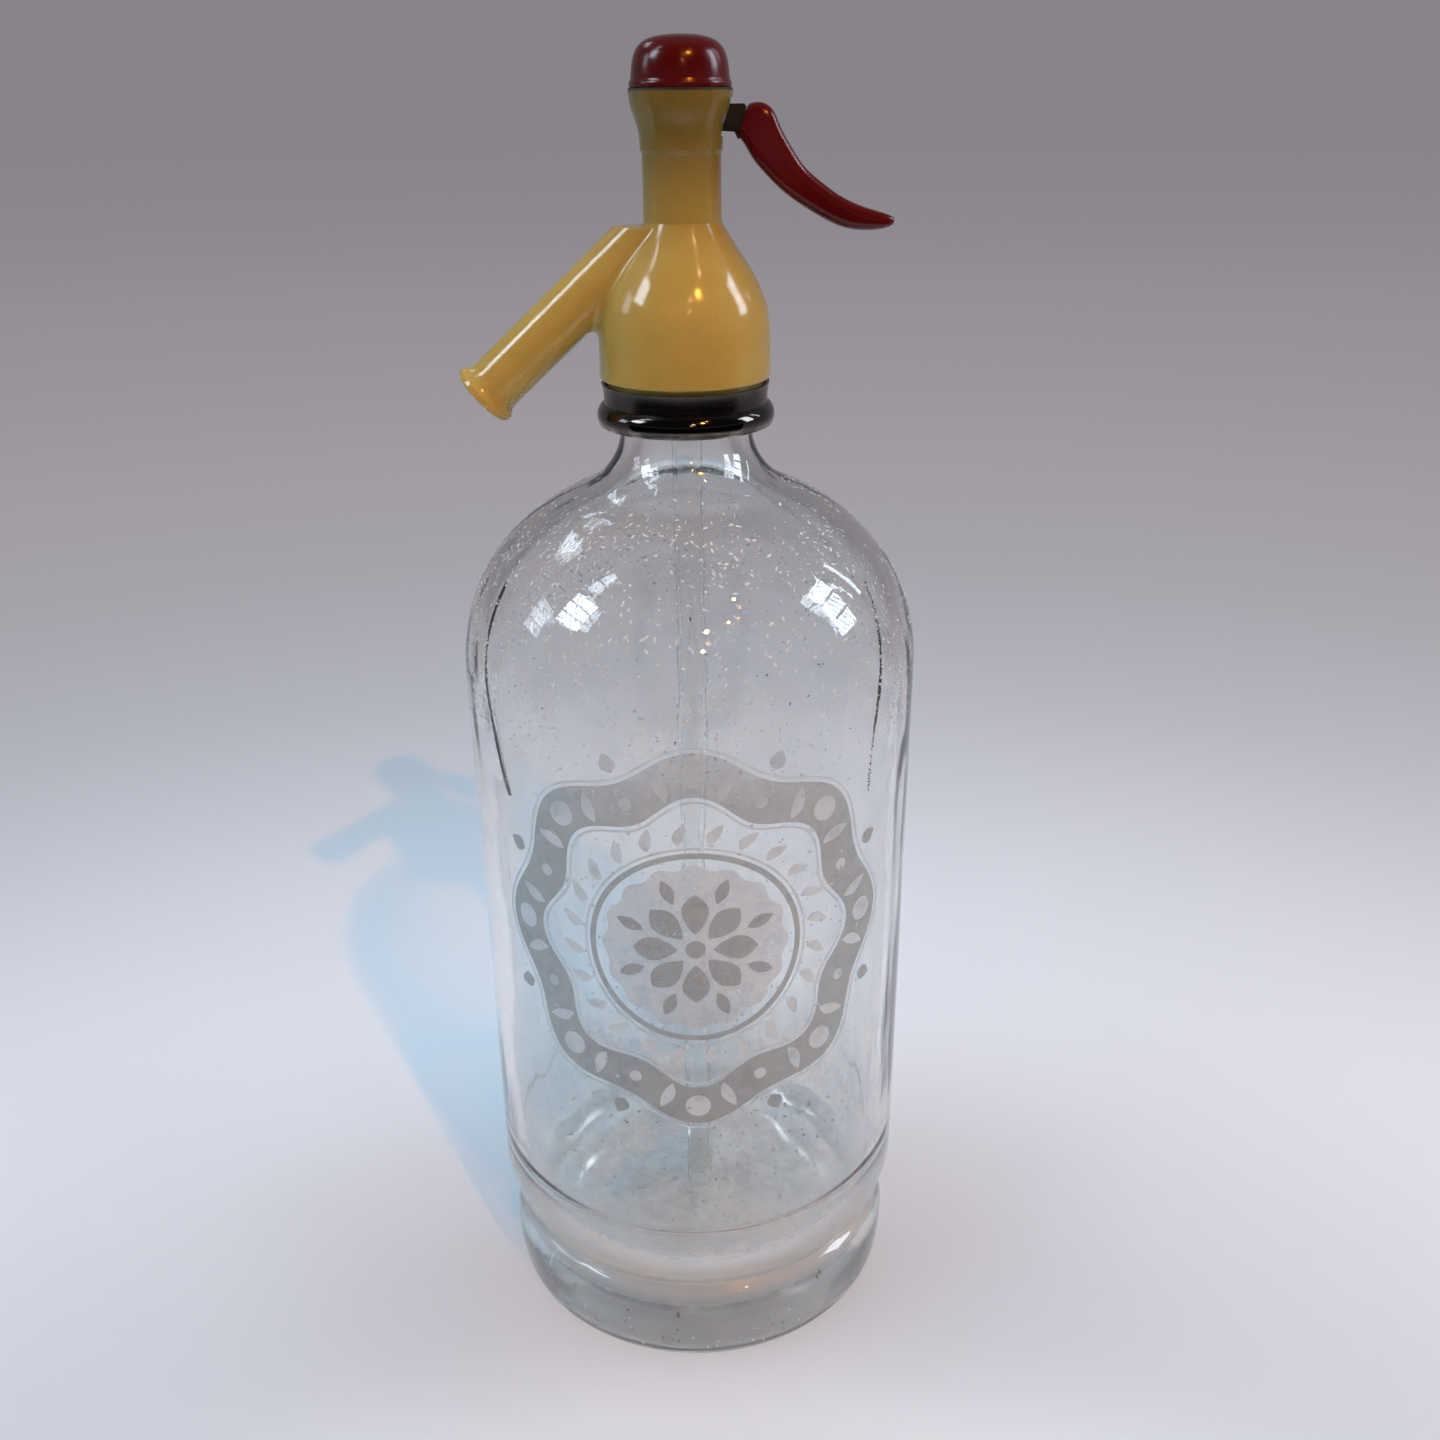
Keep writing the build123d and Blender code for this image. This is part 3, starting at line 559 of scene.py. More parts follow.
def bottle_outline():
    """The bottle's outline from the middle of its underside, up outside and down inside."""
    foot = BODY_RADIUS - FOOT_INSET
    groove = BODY_RADIUS - GROOVE_DEPTH
    heel_centre = BODY_RADIUS - HEEL_WIDTH
    heel_angle = degrees(acos((groove - heel_centre) / HEEL_WIDTH))
    groove_z = HEEL_TOP - HEEL_HEIGHT * sin(radians(heel_angle))
    rise = groove_z - FOOT_WIDEST
    step = foot - groove
    foot_round = (step**2 + rise**2) / (2 * step)
    foot_angle = degrees(atan2(rise, groove - (foot - foot_round)))
    rest = foot - FOOT_EDGE_ROUND
    hollow = rest - FOOT_RING_WIDTH
    hollow_round = (hollow**2 + UNDERSIDE_HOLLOW**2) / (2 * UNDERSIDE_HOLLOW)
    hollow_turn = degrees(atan2(hollow, hollow_round - UNDERSIDE_HOLLOW))
    outside = arc((0, UNDERSIDE_HOLLOW - hollow_round), hollow_round, 90, 90 - hollow_turn, 14)
    outside[0] = (0.0, UNDERSIDE_HOLLOW)
    outside += straight((hollow, 0), (rest, 0), 3)
    outside += arc((rest, FOOT_WIDEST), (FOOT_EDGE_ROUND, FOOT_WIDEST), -90, 0, 10)
    outside += arc((foot - foot_round, FOOT_WIDEST), foot_round, 0, foot_angle, 10)
    outside = [point for point in outside if point[1] < groove_z - 0.6]
    dip = groove - GROOVE_DIP
    outside += [(groove + 0.4, groove_z - 0.55), (dip, groove_z - 0.2)]
    outside += [(dip, groove_z + 0.15), (groove + 0.35, groove_z + 0.45)]
    heel = arc((heel_centre, HEEL_TOP), (HEEL_WIDTH, HEEL_HEIGHT), -heel_angle, 0, 16)
    outside += [point for point in heel if point[1] > groove_z + 0.5]
    outside += straight((BODY_RADIUS, HEEL_TOP), (BODY_RADIUS, SHOULDER), 48)
    outside += glass_curve(0, NECK_RADIUS)
    bead_low = outside[-1][1] + SPLIT_RING_SEAT
    lip = bead_low + BEAD_HEIGHT
    bead = NECK_RADIUS + BEAD_OVERHANG
    outside += [(NECK_RADIUS, bead_low - 0.01), (bead - 0.4, bead_low), (bead, bead_low + 0.5)]
    outside += rounded_corner((bead, bead_low), (bead, lip), (0, lip), BEAD_ROUND)
    outside += rounded_corner((bead, lip), (NECK_BORE, lip), (NECK_BORE, 0), LIP_ROUND)

    inner = BODY_RADIUS - GLASS_WALL
    narrow = inner - INNER_STEP
    middle, level = inner - FLOOR_CORNER_WIDTH, FLOOR + FLOOR_CORNER_HEIGHT
    inside = glass_curve(GLASS_WALL, NECK_BORE)[::-1]
    inside += straight((inner, SHOULDER), (inner, level + 1.2), 48)
    inside += [(narrow, level + 0.7), (narrow, level + 0.2), (inner, level - 0.3)]
    inside += arc((middle, level), (FLOOR_CORNER_WIDTH, FLOOR_CORNER_HEIGHT), -2, -90, 22)
    for i in range(1, 9):
        share = i / 8
        ease = share * share * (3 - 2 * share)
        inside.append((middle * (1 - share), FLOOR + FLOOR_PUSH_UP * ease))
    return without_repeats(outside), without_repeats(inside)


def glass_ripple(outside_count):
    """How a hand-finished moulding differs from a true turned form, in millimetres."""

    def shift(radius, height, angle, index):
        place = Vector((cos(angle) * radius, sin(angle) * radius, height))
        if index < outside_count:
            fade = clamped((height - 2) / 10) * clamped((228 - height) / 12)
            slow = noise.noise(place / 34.0) * 0.05
            return fade * (slow + noise.noise(place / 11.0) * 0.015)
        fade = clamped((230 - height) / 14) * min(1.0, radius / 20)
        shoulder = clamped((height - 125) / 40)
        wall = clamped((height - 25) / 40)
        slow = noise.noise(place / 34.0 + Vector((7, 3, 1))) * (0.08 + 0.32 * wall)
        middle = noise.noise(place / 7.0 + Vector((1, 8, 5))) * (0.01 + 0.13 * shoulder)
        streak = noise.noise(Vector((angle * 9, 2.5, height / 70))) * 0.07 * wall
        return fade * (slow + middle + streak)

    return shift


def make_bottle(material):
    outside, inside = bottle_outline()
    outline = without_repeats(outside + inside)
    count = len(outside)
    shift = glass_ripple(count)
    return turned_piece("bottle_glass", outline, BOTTLE_SEGMENTS, material, shift, 40, count)


def make_lime(material):
    """The film inside: the glass's inner outline moved in, closed by its own thin wall."""
    film = [point for point in bottle_outline()[1] if point[1] < CHIP_LOW]
    walls = []
    for _ in range(2):
        film = [(max(0.0, radius - LIME_INSET), height + LIME_INSET) for radius, height in film]
        walls.append(film)
    outline = walls[0][::-1] + walls[1]
    return turned_piece("lime_film", outline, BOTTLE_SEGMENTS // 2, material, glass_ripple(0), 40)


def make_dip_tube(material):
    low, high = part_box("dip_tube")
    wide, tall = TUBE_END
    foot, top = low.z / MM, high.z / MM
    start, flange = foot + tall, top - TUBE_FLANGE_HEIGHT
    outline = arc((TUBE_BORE + wide, start), TUBE_END, 180, 270, 4)
    outline += arc((TUBE_RADIUS - wide, start), TUBE_END, 270, 360, 4)
    outline += straight((TUBE_RADIUS, start), (TUBE_RADIUS, flange), 60)
    outline += straight((TUBE_FLANGE_RADIUS, flange), (TUBE_FLANGE_RADIUS, top), 1)
    outline += straight((TUBE_BORE, top), (TUBE_BORE, start), 60)

    def shift(radius, height, angle, index):
        return noise.noise(Vector((cos(angle) * 0.8, sin(angle) * 0.8, height / 40))) * 0.03

    outline = without_repeats(outline)
    return turned_piece("dip_tube_glass", outline, TUBE_SEGMENTS, material, shift, 50)


def make_spring(material):
    """A helical wire, closed at both ends."""
    low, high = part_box("return_spring")
    foot, top = low.z / MM + WIRE_RADIUS, high.z / MM - WIRE_RADIUS
    steps, around = int(SPRING_TURNS * 40), 10
    vertices, faces = [], []
    for i in range(steps + 1):
        share = i / steps
        turn = 2 * pi * SPRING_TURNS * share
        spot = (SPRING_RADIUS * cos(turn), SPRING_RADIUS * sin(turn), foot + (top - foot) * share)
        centre, outward = Vector(spot), Vector((*spot[:2], 0)).normalized()
        for k in range(around):
            angle = 2 * pi * k / around
            spot = centre + (outward * cos(angle) + Vector((0, 0, 1)) * sin(angle)) * WIRE_RADIUS
            vertices.append(tuple(spot * MM))
    for i in range(steps):
        for k in range(around):
            a, b = i * around + k, i * around + (k + 1) % around
            faces.append((a, a + around, b + around, b))
    faces.append(tuple(range(around)))
    faces.append(tuple(steps * around + k for k in reversed(range(around))))
    return piece_from("spring_wire", vertices, faces, material, 60)


# ---- Etched ornament
def flat_patch(inner, outer, across, closed):
    """A thin flat solid between two curves of (u, v) in millimetres, in the plane that faces -Y."""
    along = len(inner)
    grid = []
    for i in range(across + 1):
        for start, end in zip(inner, outer):
            grid.append(tuple(a + (b - a) * i / across for a, b in zip(start, end)))
    vertices = [(u * MM, depth * MM, v * MM) for depth in (0.0, -ETCH_DEPTH) for u, v in grid]
    back = len(grid)

    def at(i, j):
        return i * along + j % along

    spans = range(along if closed else along - 1)
    faces, rim = [], []
    for i in range(across):
        for j in spans:
            a, b, c, d = at(i, j), at(i, j + 1), at(i + 1, j + 1), at(i + 1, j)
            faces += [(a, b, c, d), (a + back, d + back, c + back, b + back)]
    for j in spans:
        rim += [(at(0, j + 1), at(0, j)), (at(across, j), at(across, j + 1))]
    for i in range(0 if closed else across):
        rim += [(at(i, 0), at(i + 1, 0)), (at(i + 1, along - 1), at(i, along - 1))]
    faces += [(a, b, b + back, a + back) for a, b in rim]
    return bare_mesh("etched_motif", vertices, faces)


def round_line(reach):
    """Points round the middle at reach(angle in degrees) or at a radius, clockwise from the top."""
    points = []
    for j in range(BAND_STEPS):
        angle = 360.0 * (j / BAND_STEPS)
        distance = reach(angle) if callable(reach) else reach
        points.append((distance * sin(radians(angle)), distance * cos(radians(angle))))
    return points


def etched_band(inner, outer, across=1):
    """A closed band between two reach functions or radii."""
    return flat_patch(round_line(inner), round_line(outer), across, True)


def etched_leaf(foot, tip, half_width, fullest=0.5, lean=0.0):
    """A pointed leaf along the radius, widest at the fullest share of its length."""
    left, right = [], []
    for j in range(MOTIF_STEPS + 1):
        share = j / MOTIF_STEPS
        bent = share / (2 * fullest)
        if share >= fullest:
            bent = 0.5 + (share - fullest) / (2 * (1 - fullest))
        width = max(0.03, half_width * sin(pi * bent) ** 0.85)
        middle = lean * share * share
        height = foot + (tip - foot) * share
        left.append((middle - width, height))
        right.append((middle + width, height))
    return flat_patch(left, right, 4, False)


def etched_dot(middle, radius, steps=12):
    left, right = [], []
    for j in range(steps + 1):
        turn = pi * (0.02 + 0.96 * j / steps)
        left.append((-radius * sin(turn), middle - radius * cos(turn)))
        right.append((radius * sin(turn), middle - radius * cos(turn)))
    return flat_patch(left, right, 4, False)


def dressed(nodes, made, given):
    """Ends a geometry-nodes group: the geometry gets its material."""
    inputs = {"Geometry": made, "Material": given["Material"]}
    made = nodes.add("GeometryNodeSetMaterial", inputs)
    nodes.add("NodeGroupOutput", {"Geometry": made})
    return nodes.tree


def turned_by(nodes, **angle):
    """A rotation by an angle about one axis."""
    turn = nodes.add("CombineXYZ", angle)
    return nodes.add("FunctionNodeEulerToRotation", {0: turn})


def repeated(nodes, inputs):
    """Real copies of an instance on points."""
    placed = nodes.add("GeometryNodeInstanceOnPoints", inputs)
    return nodes.add("GeometryNodeRealizeInstances", {"Geometry": placed})


def ring_tree():
    """Geometry nodes: sets a motif round a ring and wraps the ring on an upright cylinder."""
    inputs = {"Geometry": "Geometry", "Count": "Int", "First Angle": 0.0, "Wrap Radius": 0.0}
    inputs.update({"Centre Height": 0.0, "Material": "Material"})
    nodes, given = new_group("Geometry", "etched_ring", inputs, {"Geometry": "Geometry"})
    points = nodes.add("GeometryNodePoints", {"Count": given["Count"]})
    index = nodes.add("GeometryNodeInputIndex")
    step = nodes.math("DIVIDE", 2 * pi, given["Count"])
    turn = turned_by(nodes, Y=nodes.plus(nodes.times(index, step), given["First Angle"]))
    real = repeated(nodes, {"Points": points, "Instance": given["Geometry"], "Rotation": turn})
    place = nodes.add("GeometryNodeInputPosition")
    flat = nodes.add("SeparateXYZ", {"Vector": place}).outputs
    angle = nodes.math("DIVIDE", flat["X"], given["Wrap Radius"])
    reach = nodes.minus(given["Wrap Radius"], flat["Y"])
    wrapped = {
        "X": nodes.times(reach, nodes.math("SINE", angle)),
        "Y": nodes.times(reach, nodes.math("COSINE", angle), -1.0),
        "Z": nodes.plus(flat["Z"], given["Centre Height"]),
    }
    wrapped = nodes.add("CombineXYZ", wrapped)
    inputs = {"Geometry": real, "Position": wrapped}
    return dressed(nodes, nodes.add("GeometryNodeSetPosition", inputs), given)


def flake_tree():
    """Geometry nodes: scatters small flakes over a mesh, clustered by a noise, turned at random."""
    inputs = {"Geometry": "Geometry", "Density": 0.0, "Size": 0.0, "Longest": 0.0, "Thickness": 0.0}
    inputs.update({"Seed": "Int", "Material": "Material"})
    nodes, given = new_group("Geometry", "scattered_flakes", inputs, {"Geometry": "Geometry"})

    def random(low, high, seed):
        inputs = {2: low, 3: high, 8: seed}
        return nodes.add("FunctionNodeRandomValue", inputs, data_type="FLOAT").outputs[1]

    cluster = nodes.add("TexNoise", {"Scale": 45.0, "Detail": 2.0})
    density = nodes.times(given["Density"], nodes.span(cluster, 0.42, 0.66, 0.08, 1.0))
    spots = {"Mesh": given["Geometry"], "Density": density, "Seed": given["Seed"]}
    spots = nodes.add("GeometryNodeDistributePointsOnFaces", spots).outputs
    spin = turned_by(nodes, Z=random(0.0, 2 * pi, 3))
    turn = {0: spots["Rotation"], 1: spin}
    turn = nodes.add("FunctionNodeRotateRotation", turn, rotation_space="LOCAL")
    scale = {"X": random(0.5, given["Longest"], 5), "Y": random(0.35, 1.0, 9), "Z": given["Thickness"]}
    scale = nodes.add("CombineXYZ", scale)
    grain = nodes.add("GeometryNodeMeshIcoSphere", {"Radius": given["Size"], "Subdivisions": 1})
    inputs = {"Points": spots["Points"], "Instance": grain, "Rotation": turn, "Scale": scale}
    return dressed(nodes, repeated(nodes, inputs), given)


def grown(mesh, tree, inputs):
    """The plain mesh that a geometry-nodes tree makes from a mesh."""
    carrier = in_scene("carrier", mesh)
    modifier = carrier.modifiers.new("nodes", "NODES")
    modifier.node_group = tree
    for item in tree.interface.items_tree:
        if item.in_out == "INPUT" and item.name in inputs:
            modifier[item.identifier] = inputs[item.name]
    graph = bpy.context.evaluated_depsgraph_get()
    result = bpy.data.meshes.new_from_object(carrier.evaluated_get(graph), depsgraph=graph)
    bpy.data.objects.remove(carrier)
    return result


def grown_piece(name, tree, material, layers):
    """One piece of several layers, each a mesh and what the tree is given for it."""
    whole = bmesh.new()
    for mesh, inputs in layers:
        whole.from_mesh(grown(mesh, tree, {**inputs, "Material": material}))
    bmesh.ops.remove_doubles(whole, verts=whole.verts, dist=1e-7)
    bmesh.ops.recalc_face_normals(whole, faces=whole.faces)
    result = bpy.data.meshes.new(name)
    whole.to_mesh(result)
    whole.free()
    result.materials.clear()
    result.materials.append(material)
    for face in result.polygons:
        face.material_index = 0
    result.shade_smooth()
    result.set_sharp_from_angle(angle=radians(40))
    return in_scene(name, result)


def make_ornament(field, figures, rosette, veil):
    """A scalloped frosted band with dots, a wreath of leaves and a rosette on a pale disc."""
    tree = ring_tree()
    many = FRAME_LOBES
    between = 180.0 / many  # from the middle of a lobe to the gap after it

    def lobe(offset):
        return lambda angle: FRAME_RADIUS + offset + FRAME_LOBE * cos(radians(angle * many))

    def disc_edge(angle):
        return CENTRE_RADIUS + 0.6 * cos(radians(16 * angle))

    def slanted(lean):
        return etched_leaf(FRAME_RADIUS - 3.6, FRAME_RADIUS + 3.8, 1.5, lean=lean)

    half = FRAME_WIDTH / 2
    edge = half + 0.9  # a thin line runs along each side of the band
    circle = CENTRE_RADIUS + 4.4
    wreath = FRAME_RADIUS - FRAME_LOBE - half - 1.6
    # Each piece has its material, its layer counted outward from the glass, and its rings:
    # a motif, how many of it, and the first one's angle in degrees
    pieces = {
        "etched_field": (field, 0, [
            (etched_band(lobe(-half), lobe(half), 4), 1, 0.0),
            (etched_band(CENTRE_RADIUS + 2.2, CENTRE_RADIUS + 3.6), 1, 0.0),
            (etched_leaf(46.4, 51.2, 1.9, 0.4), many, between),
        ]),
        "etched_figures": (figures, 1, [
            (etched_band(lobe(edge), lobe(edge + LINE_WIDTH)), 1, 0.0),
            (etched_band(lobe(-edge - LINE_WIDTH), lobe(-edge)), 1, 0.0),
            (etched_band(circle, circle + LINE_WIDTH), 1, 0.0),
            (etched_dot(FRAME_RADIUS + FRAME_LOBE, 3.0), many, 0.0),
            (etched_dot(FRAME_RADIUS - FRAME_LOBE, 1.5), many, between),
            (slanted(1.8), many, between / 2 - 2),
            (slanted(-1.8), many, 2 - between / 2),
            (etched_leaf(CENTRE_RADIUS + 5.6, wreath, 1.5, lean=2.2), 3 * many, 7.5),
        ]),
        "etched_petals": (rosette, 1, [
            (etched_leaf(4.0, 14.2, 3.1, 0.6), many, 0.0),
            (etched_leaf(12.6, 19.2, 1.5), many, between),
            (etched_dot(0.0, 2.3), 1, 0.0),
        ]),
        "etched_disc": (veil, 0, [(etched_band(0.05, disc_edge, 8), 1, 0.0)]),
    }
    made = []
    for name, (material, layer, rings) in pieces.items():
        wrap = (ETCH_RADIUS + layer * (ETCH_DEPTH + 0.01)) * MM
        same = {"Wrap Radius": wrap, "Centre Height": ETCH_CENTRE * MM}
        layers = [(mesh, {"Count": n, "First Angle": radians(a), **same}) for mesh, n, a in rings]
        made.append(grown_piece(name, tree, material, layers))
    return made


# ---- Wear and dirt
def glass_skin(low, high, outward, inside):
    """A part of the bottle's outer or inner surface, moved out a little, as a bare mesh."""
    band = [(r + outward, z) for r, z in bottle_outline()[inside] if low <= z <= high]
    steps = 96
    turns = [radians(360.0 * k / steps) for k in range(steps + 1)]
    vertices = [spot_at(r, a, z) for r, z in band for a in turns]
    across = steps + 1
    corners = [i * across + k for i in range(len(band) - 1) for k in range(steps)]
    return bare_mesh("skin", vertices, [(a, a + 1, a + 1 + across, a + across) for a in corners])


def inner_radius(height):
    """The radius of the bottle's inner wall at a height over the floor."""
    inside = bottle_outline()[1]
    for (upper, top), (lower, foot) in zip(inside, inside[1:]):
        if foot <= height <= top and top > foot:
            return upper + (lower - upper) * (top - height) / (top - foot)
    return BODY_RADIUS - GLASS_WALL


def dirt_line(side, low_angle, high_angle, bend):
    """A narrow strip up the inner wall that turns back over the shoulder, as a bare mesh.

    Its angles at its foot and top are in degrees from -Y towards that side, and a bend
    over 1 keeps most of the turn for the top. It lies just in the glass."""
    steps, vertices = 90, []
    ripple = glass_ripple(0)
    for i in range(steps + 1):
        share = i / steps
        turn = radians(-90 + side * (low_angle + (high_angle - low_angle) * share**bend))
        level = DIRT_LINE_FOOT + (DIRT_LINE_TOP - DIRT_LINE_FOOT) * share
        wall = inner_radius(level)
        reach = wall + ripple(wall, level, turn, 0) + 0.05
        wide = (0.25 + 0.75 * abs(noise.noise(Vector((turn, 4.0, level / 9.0))))) * DIRT_LINE_WIDTH
        for edge in (turn - wide / reach, turn + wide / reach):
            vertices.append(spot_at(reach, edge, level))
    faces = [(k, k + 1, k + 3, k + 2) for k in range(0, len(vertices) - 2, 2)]
    return bare_mesh("dirt_line", vertices, faces)


def make_wear(nick, dirt):
    """Nicks on the shoulder and the foot, and grains of dirt inside.

    A layer is where its flakes lie, how many to the square metre, how big as a share of
    the full size, how long at most, and how thick."""
    tree = flake_tree()

    def scattered(name, material, layers):
        given = []
        for seed, (skin, density, size, longest, thickness) in enumerate(layers, 4):
            inputs = {"Density": density, "Size": size * FLAKE_SIZE * MM, "Seed": seed}
            given.append((skin, {**inputs, "Longest": longest, "Thickness": thickness}))
        return grown_piece(name, tree, material, given)

    shoulder = glass_skin(CHIP_LOW, CHIP_HIGH, 0.02, 0)
    nicks = [
        (shoulder, 230000.0, 0.75, 2.4, 0.25),
        (shoulder.copy(), 260000.0, 0.46, 1.3, 0.3),
        (glass_skin(40, CHIP_LOW, 0.02, 0), 12000.0, 0.33, 1.8, 0.3),
        (glass_skin(2.0, 12.0, 0.02, 0), 20000.0, 0.5, 2.0, 0.2),
    ]
    grains = [
        (glass_skin(140, 205, -0.2, 1), 9000.0, 0.4, 3.0, 0.2),
        (glass_skin(12.6, 140, -0.2, 1), 5000.0, 0.36, 2.4, 0.2),
        (dirt_line(-1, 54.0, 67.0, 0.8), 90000000.0, 0.36, 2.6, 1.4),
        (dirt_line(1, 51.0, 63.0, 2.0), 50000000.0, 0.34, 2.6, 1.2),
    ]
    return [scattered("glass_nicks", nick, nicks), scattered("inside_dirt", dirt, grains)]


# ---- Stage, lights, camera
TARGET = Vector((0.0, 0.0, 0.17))
GLOW_CENTRE = (0.0, -0.32, 0.0)  # the floor's painted pool of light and the backdrop's tones spread from this place on the floor
GLOW_REACH = 0.30  # distance, in metres, at which the tone scale reads 1
GLOW_NEAREST = 0.25  # nearer than this, in metres, the tone stays the same
FLOOR_REACH = 60.0
TONE_SCALE = 1.2
# Floor colours along the tone scale, as painted light: brightest round the object, with a painted
# darker band at 1.05 and a falloff to the horizon.
LIGHT_POOL_TONES = [
    (0.00, (0.245, 0.232, 0.250)),
    (0.05, (0.250, 0.237, 0.255)),
    (0.12, (0.290, 0.272, 0.293)),
    (0.26, (0.370, 0.345, 0.368)),
    (0.42, (0.450, 0.450, 0.480)),
    (0.54, (0.570, 0.595, 0.640)),
    (0.68, (0.665, 0.715, 0.780)),
    (0.85, (0.600, 0.645, 0.710)),
    (1.05, (0.505, 0.560, 0.628)),
    (1.20, (0.650, 0.715, 0.780)),
]
HORIZON = LIGHT_POOL_TONES[0][1]
SHEET_SHARE = 1.2  # the sheet's own colour for a tone, at the level of the lights
BAR_SHARE = 0.07  # half a glazing bar's width, as a share of a pane
COOL = (0.76, 0.88, 1.0)


def make_floor():
    """A pale round floor whose colour is a painted pool of light round the object, and which turns
    into the backdrop's colour far away, glowing as an emission.
    """
    turns = [2 * pi * k / 128 for k in range(128)]
    vertices = [(FLOOR_REACH * cos(turn), FLOOR_REACH * sin(turn), -0.0002) for turn in turns]
    look = Look("pale_floor")
    centred = look.vector("SUBTRACT", {0: look.place, 1: GLOW_CENTRE})
    away = look.math("MAXIMUM", look.length(centred), GLOW_NEAREST)
    scale = look.math("DIVIDE", GLOW_REACH, away)
    # The tone paints the pool of light: brighter near the glow's centre, dimmer far away.
    tone = look.add("ValToRGB", {"Fac": look.math("DIVIDE", scale, TONE_SCALE)})
    marks = tone.color_ramp
    marks.interpolation = "B_SPLINE"
    while len(marks.elements) < len(LIGHT_POOL_TONES):
        marks.elements.new(0.5)
    for element, (at, shade) in zip(marks.elements, LIGHT_POOL_TONES):
        element.position = at / TONE_SCALE
        element.color = (*shade, 1.0)
    near = look.ease(look.length(look.place), 0.5, 1.1, 1.0, 0.0)
    near = look.times(look.ease(scale, 0.16, 0.46), near)
    # Near the object the floor is lit and takes shadows; farther out it glows with the painted tones.
    look.shaders(near, look.add("Emission", {"Color": tone}), look.shader)
    sheet = look.vector("SCALE", {0: tone, "Scale": SHEET_SHARE})
    inputs = {"Base Color": sheet, "Roughness": 0.9, "Specular IOR Level": 0.1}
    material = look.finish(inputs, look.clouds(look.place, 900.0, 3.0), 0.05, 0.0002)
    piece_from("floor", vertices, [tuple(range(128))], material)


def make_world():
    """An even backdrop, darker overhead, and a dim room behind the camera."""
    world = bpy.data.worlds.new("studio")
    world.use_nodes = True
    bpy.context.scene.world = world
    nodes = Nodes(world.node_tree)
    nodes.tree.nodes.clear()
    direction = nodes.add("TexCoord").outputs["Generated"]
    parts = nodes.add("SeparateXYZ", {"Vector": direction}).outputs
    backdrop = nodes.mix(nodes.ease(parts["Z"], 0.05, 0.8), HORIZON, (0.13, 0.13, 0.15))
    room = nodes.mix(nodes.ease(parts["Z"], 0.0, 0.35), HORIZON, (0.03, 0.03, 0.034))
    shade = nodes.mix(nodes.ease(parts["Y"], -0.35, 0.3), room, backdrop)
    back = nodes.add("Background", {"Color": shade, "Strength": 1.0})
    nodes.add("OutputWorld", {"Surface": back})


def make_flag():
    """A dark curtain in front, which only glossy surfaces see, as a photographer's flag."""
    steps, reach, top = 24, 0.30, 0.27
    vertices = []
    for k in range(steps + 1):
        angle = radians(-75 + 150 * k / steps)
        for height in (0.0, top):
            vertices.append((reach * sin(angle), -reach * cos(angle), height))
    faces = [(2 * k, 2 * k + 1, 2 * k + 3, 2 * k + 2) for k in range(steps)]
    look = Look("dark_cloth")
    weave = look.clouds(look.place, 300.0)
    shade = look.mix(weave, (0.012, 0.011, 0.012), (0.022, 0.02, 0.022))
    cover = look.ease(look.height(), 0.01, 0.12)
    look.feed(look.shader, matt_inputs(shade, 1.0, cover, 0.0))
    flag = piece_from("dark_flag", vertices, faces, look.material)
    hide_from(flag, "camera", "diffuse", "transmission", "shadow")


def hide_from(thing, *rays):
    for ray in rays:
        setattr(thing, "visible_" + ray, False)


def new_light(name, kind, shade, power, azimuth, elevation, distance):
    """A light that the camera doesn't see, at an azimuth from -Y towards +X, in degrees."""
    light = bpy.data.lights.new(name, kind)
    light.color = shade
    light.energy = power
    made = in_scene(name, light)
    level = distance * cos(radians(elevation))
    across, deep = level * sin(radians(azimuth)), -level * cos(radians(azimuth))
    made.location = TARGET + Vector((across, deep, distance * sin(radians(elevation))))
    hide_from(made, "camera")
    return made


def make_window(name, azimuth, elevation, distance, width, height, radiance, panes=None, shade=COOL):
    """A rectangular light that only gloss and glass see, with bars between its panes.

    Without panes it is a soft panel instead, which lights without being mirrored."""
    power = radiance * pi * width * height
    made = new_light(name, "AREA", shade, power, azimuth, elevation, distance)
    made.rotation_euler = (TARGET - made.location).to_track_quat("-Z", "Y").to_euler()
    hide_from(made, *(["diffuse"] if panes else ["glossy", "transmission"]))
    light = made.data
    light.shape = "RECTANGLE"
    light.size = width
    light.size_y = height
    light.use_nodes = True
    nodes = Nodes(light.node_tree)
    nodes.tree.nodes.clear()
    spot = nodes.add("NewGeometry").outputs["Parametric"]
    parts = nodes.add("SeparateXYZ", {"Vector": spot}).outputs
    across = nodes.minus(nodes.minus(1.0, parts["X"]), parts["Y"])
    clear = []
    for place, count in zip((parts["Y"], across), panes or (1, 1)):
        share = nodes.math("FRACT", nodes.times(place, float(count)))
        edge = nodes.math("ABSOLUTE", nodes.minus(share, 0.5))
        clear.append(nodes.math("LESS_THAN", edge, 0.5 - BAR_SHARE))
    emission = nodes.add("Emission", {"Strength": nodes.times(*clear)})
    nodes.add("OutputLight", {"Surface": emission})


def make_lamp(name, azimuth, elevation, distance, radius, shade, power):
    made = new_light(name, "POINT", shade, power, azimuth, elevation, distance)
    made.data.shadow_soft_size = radius


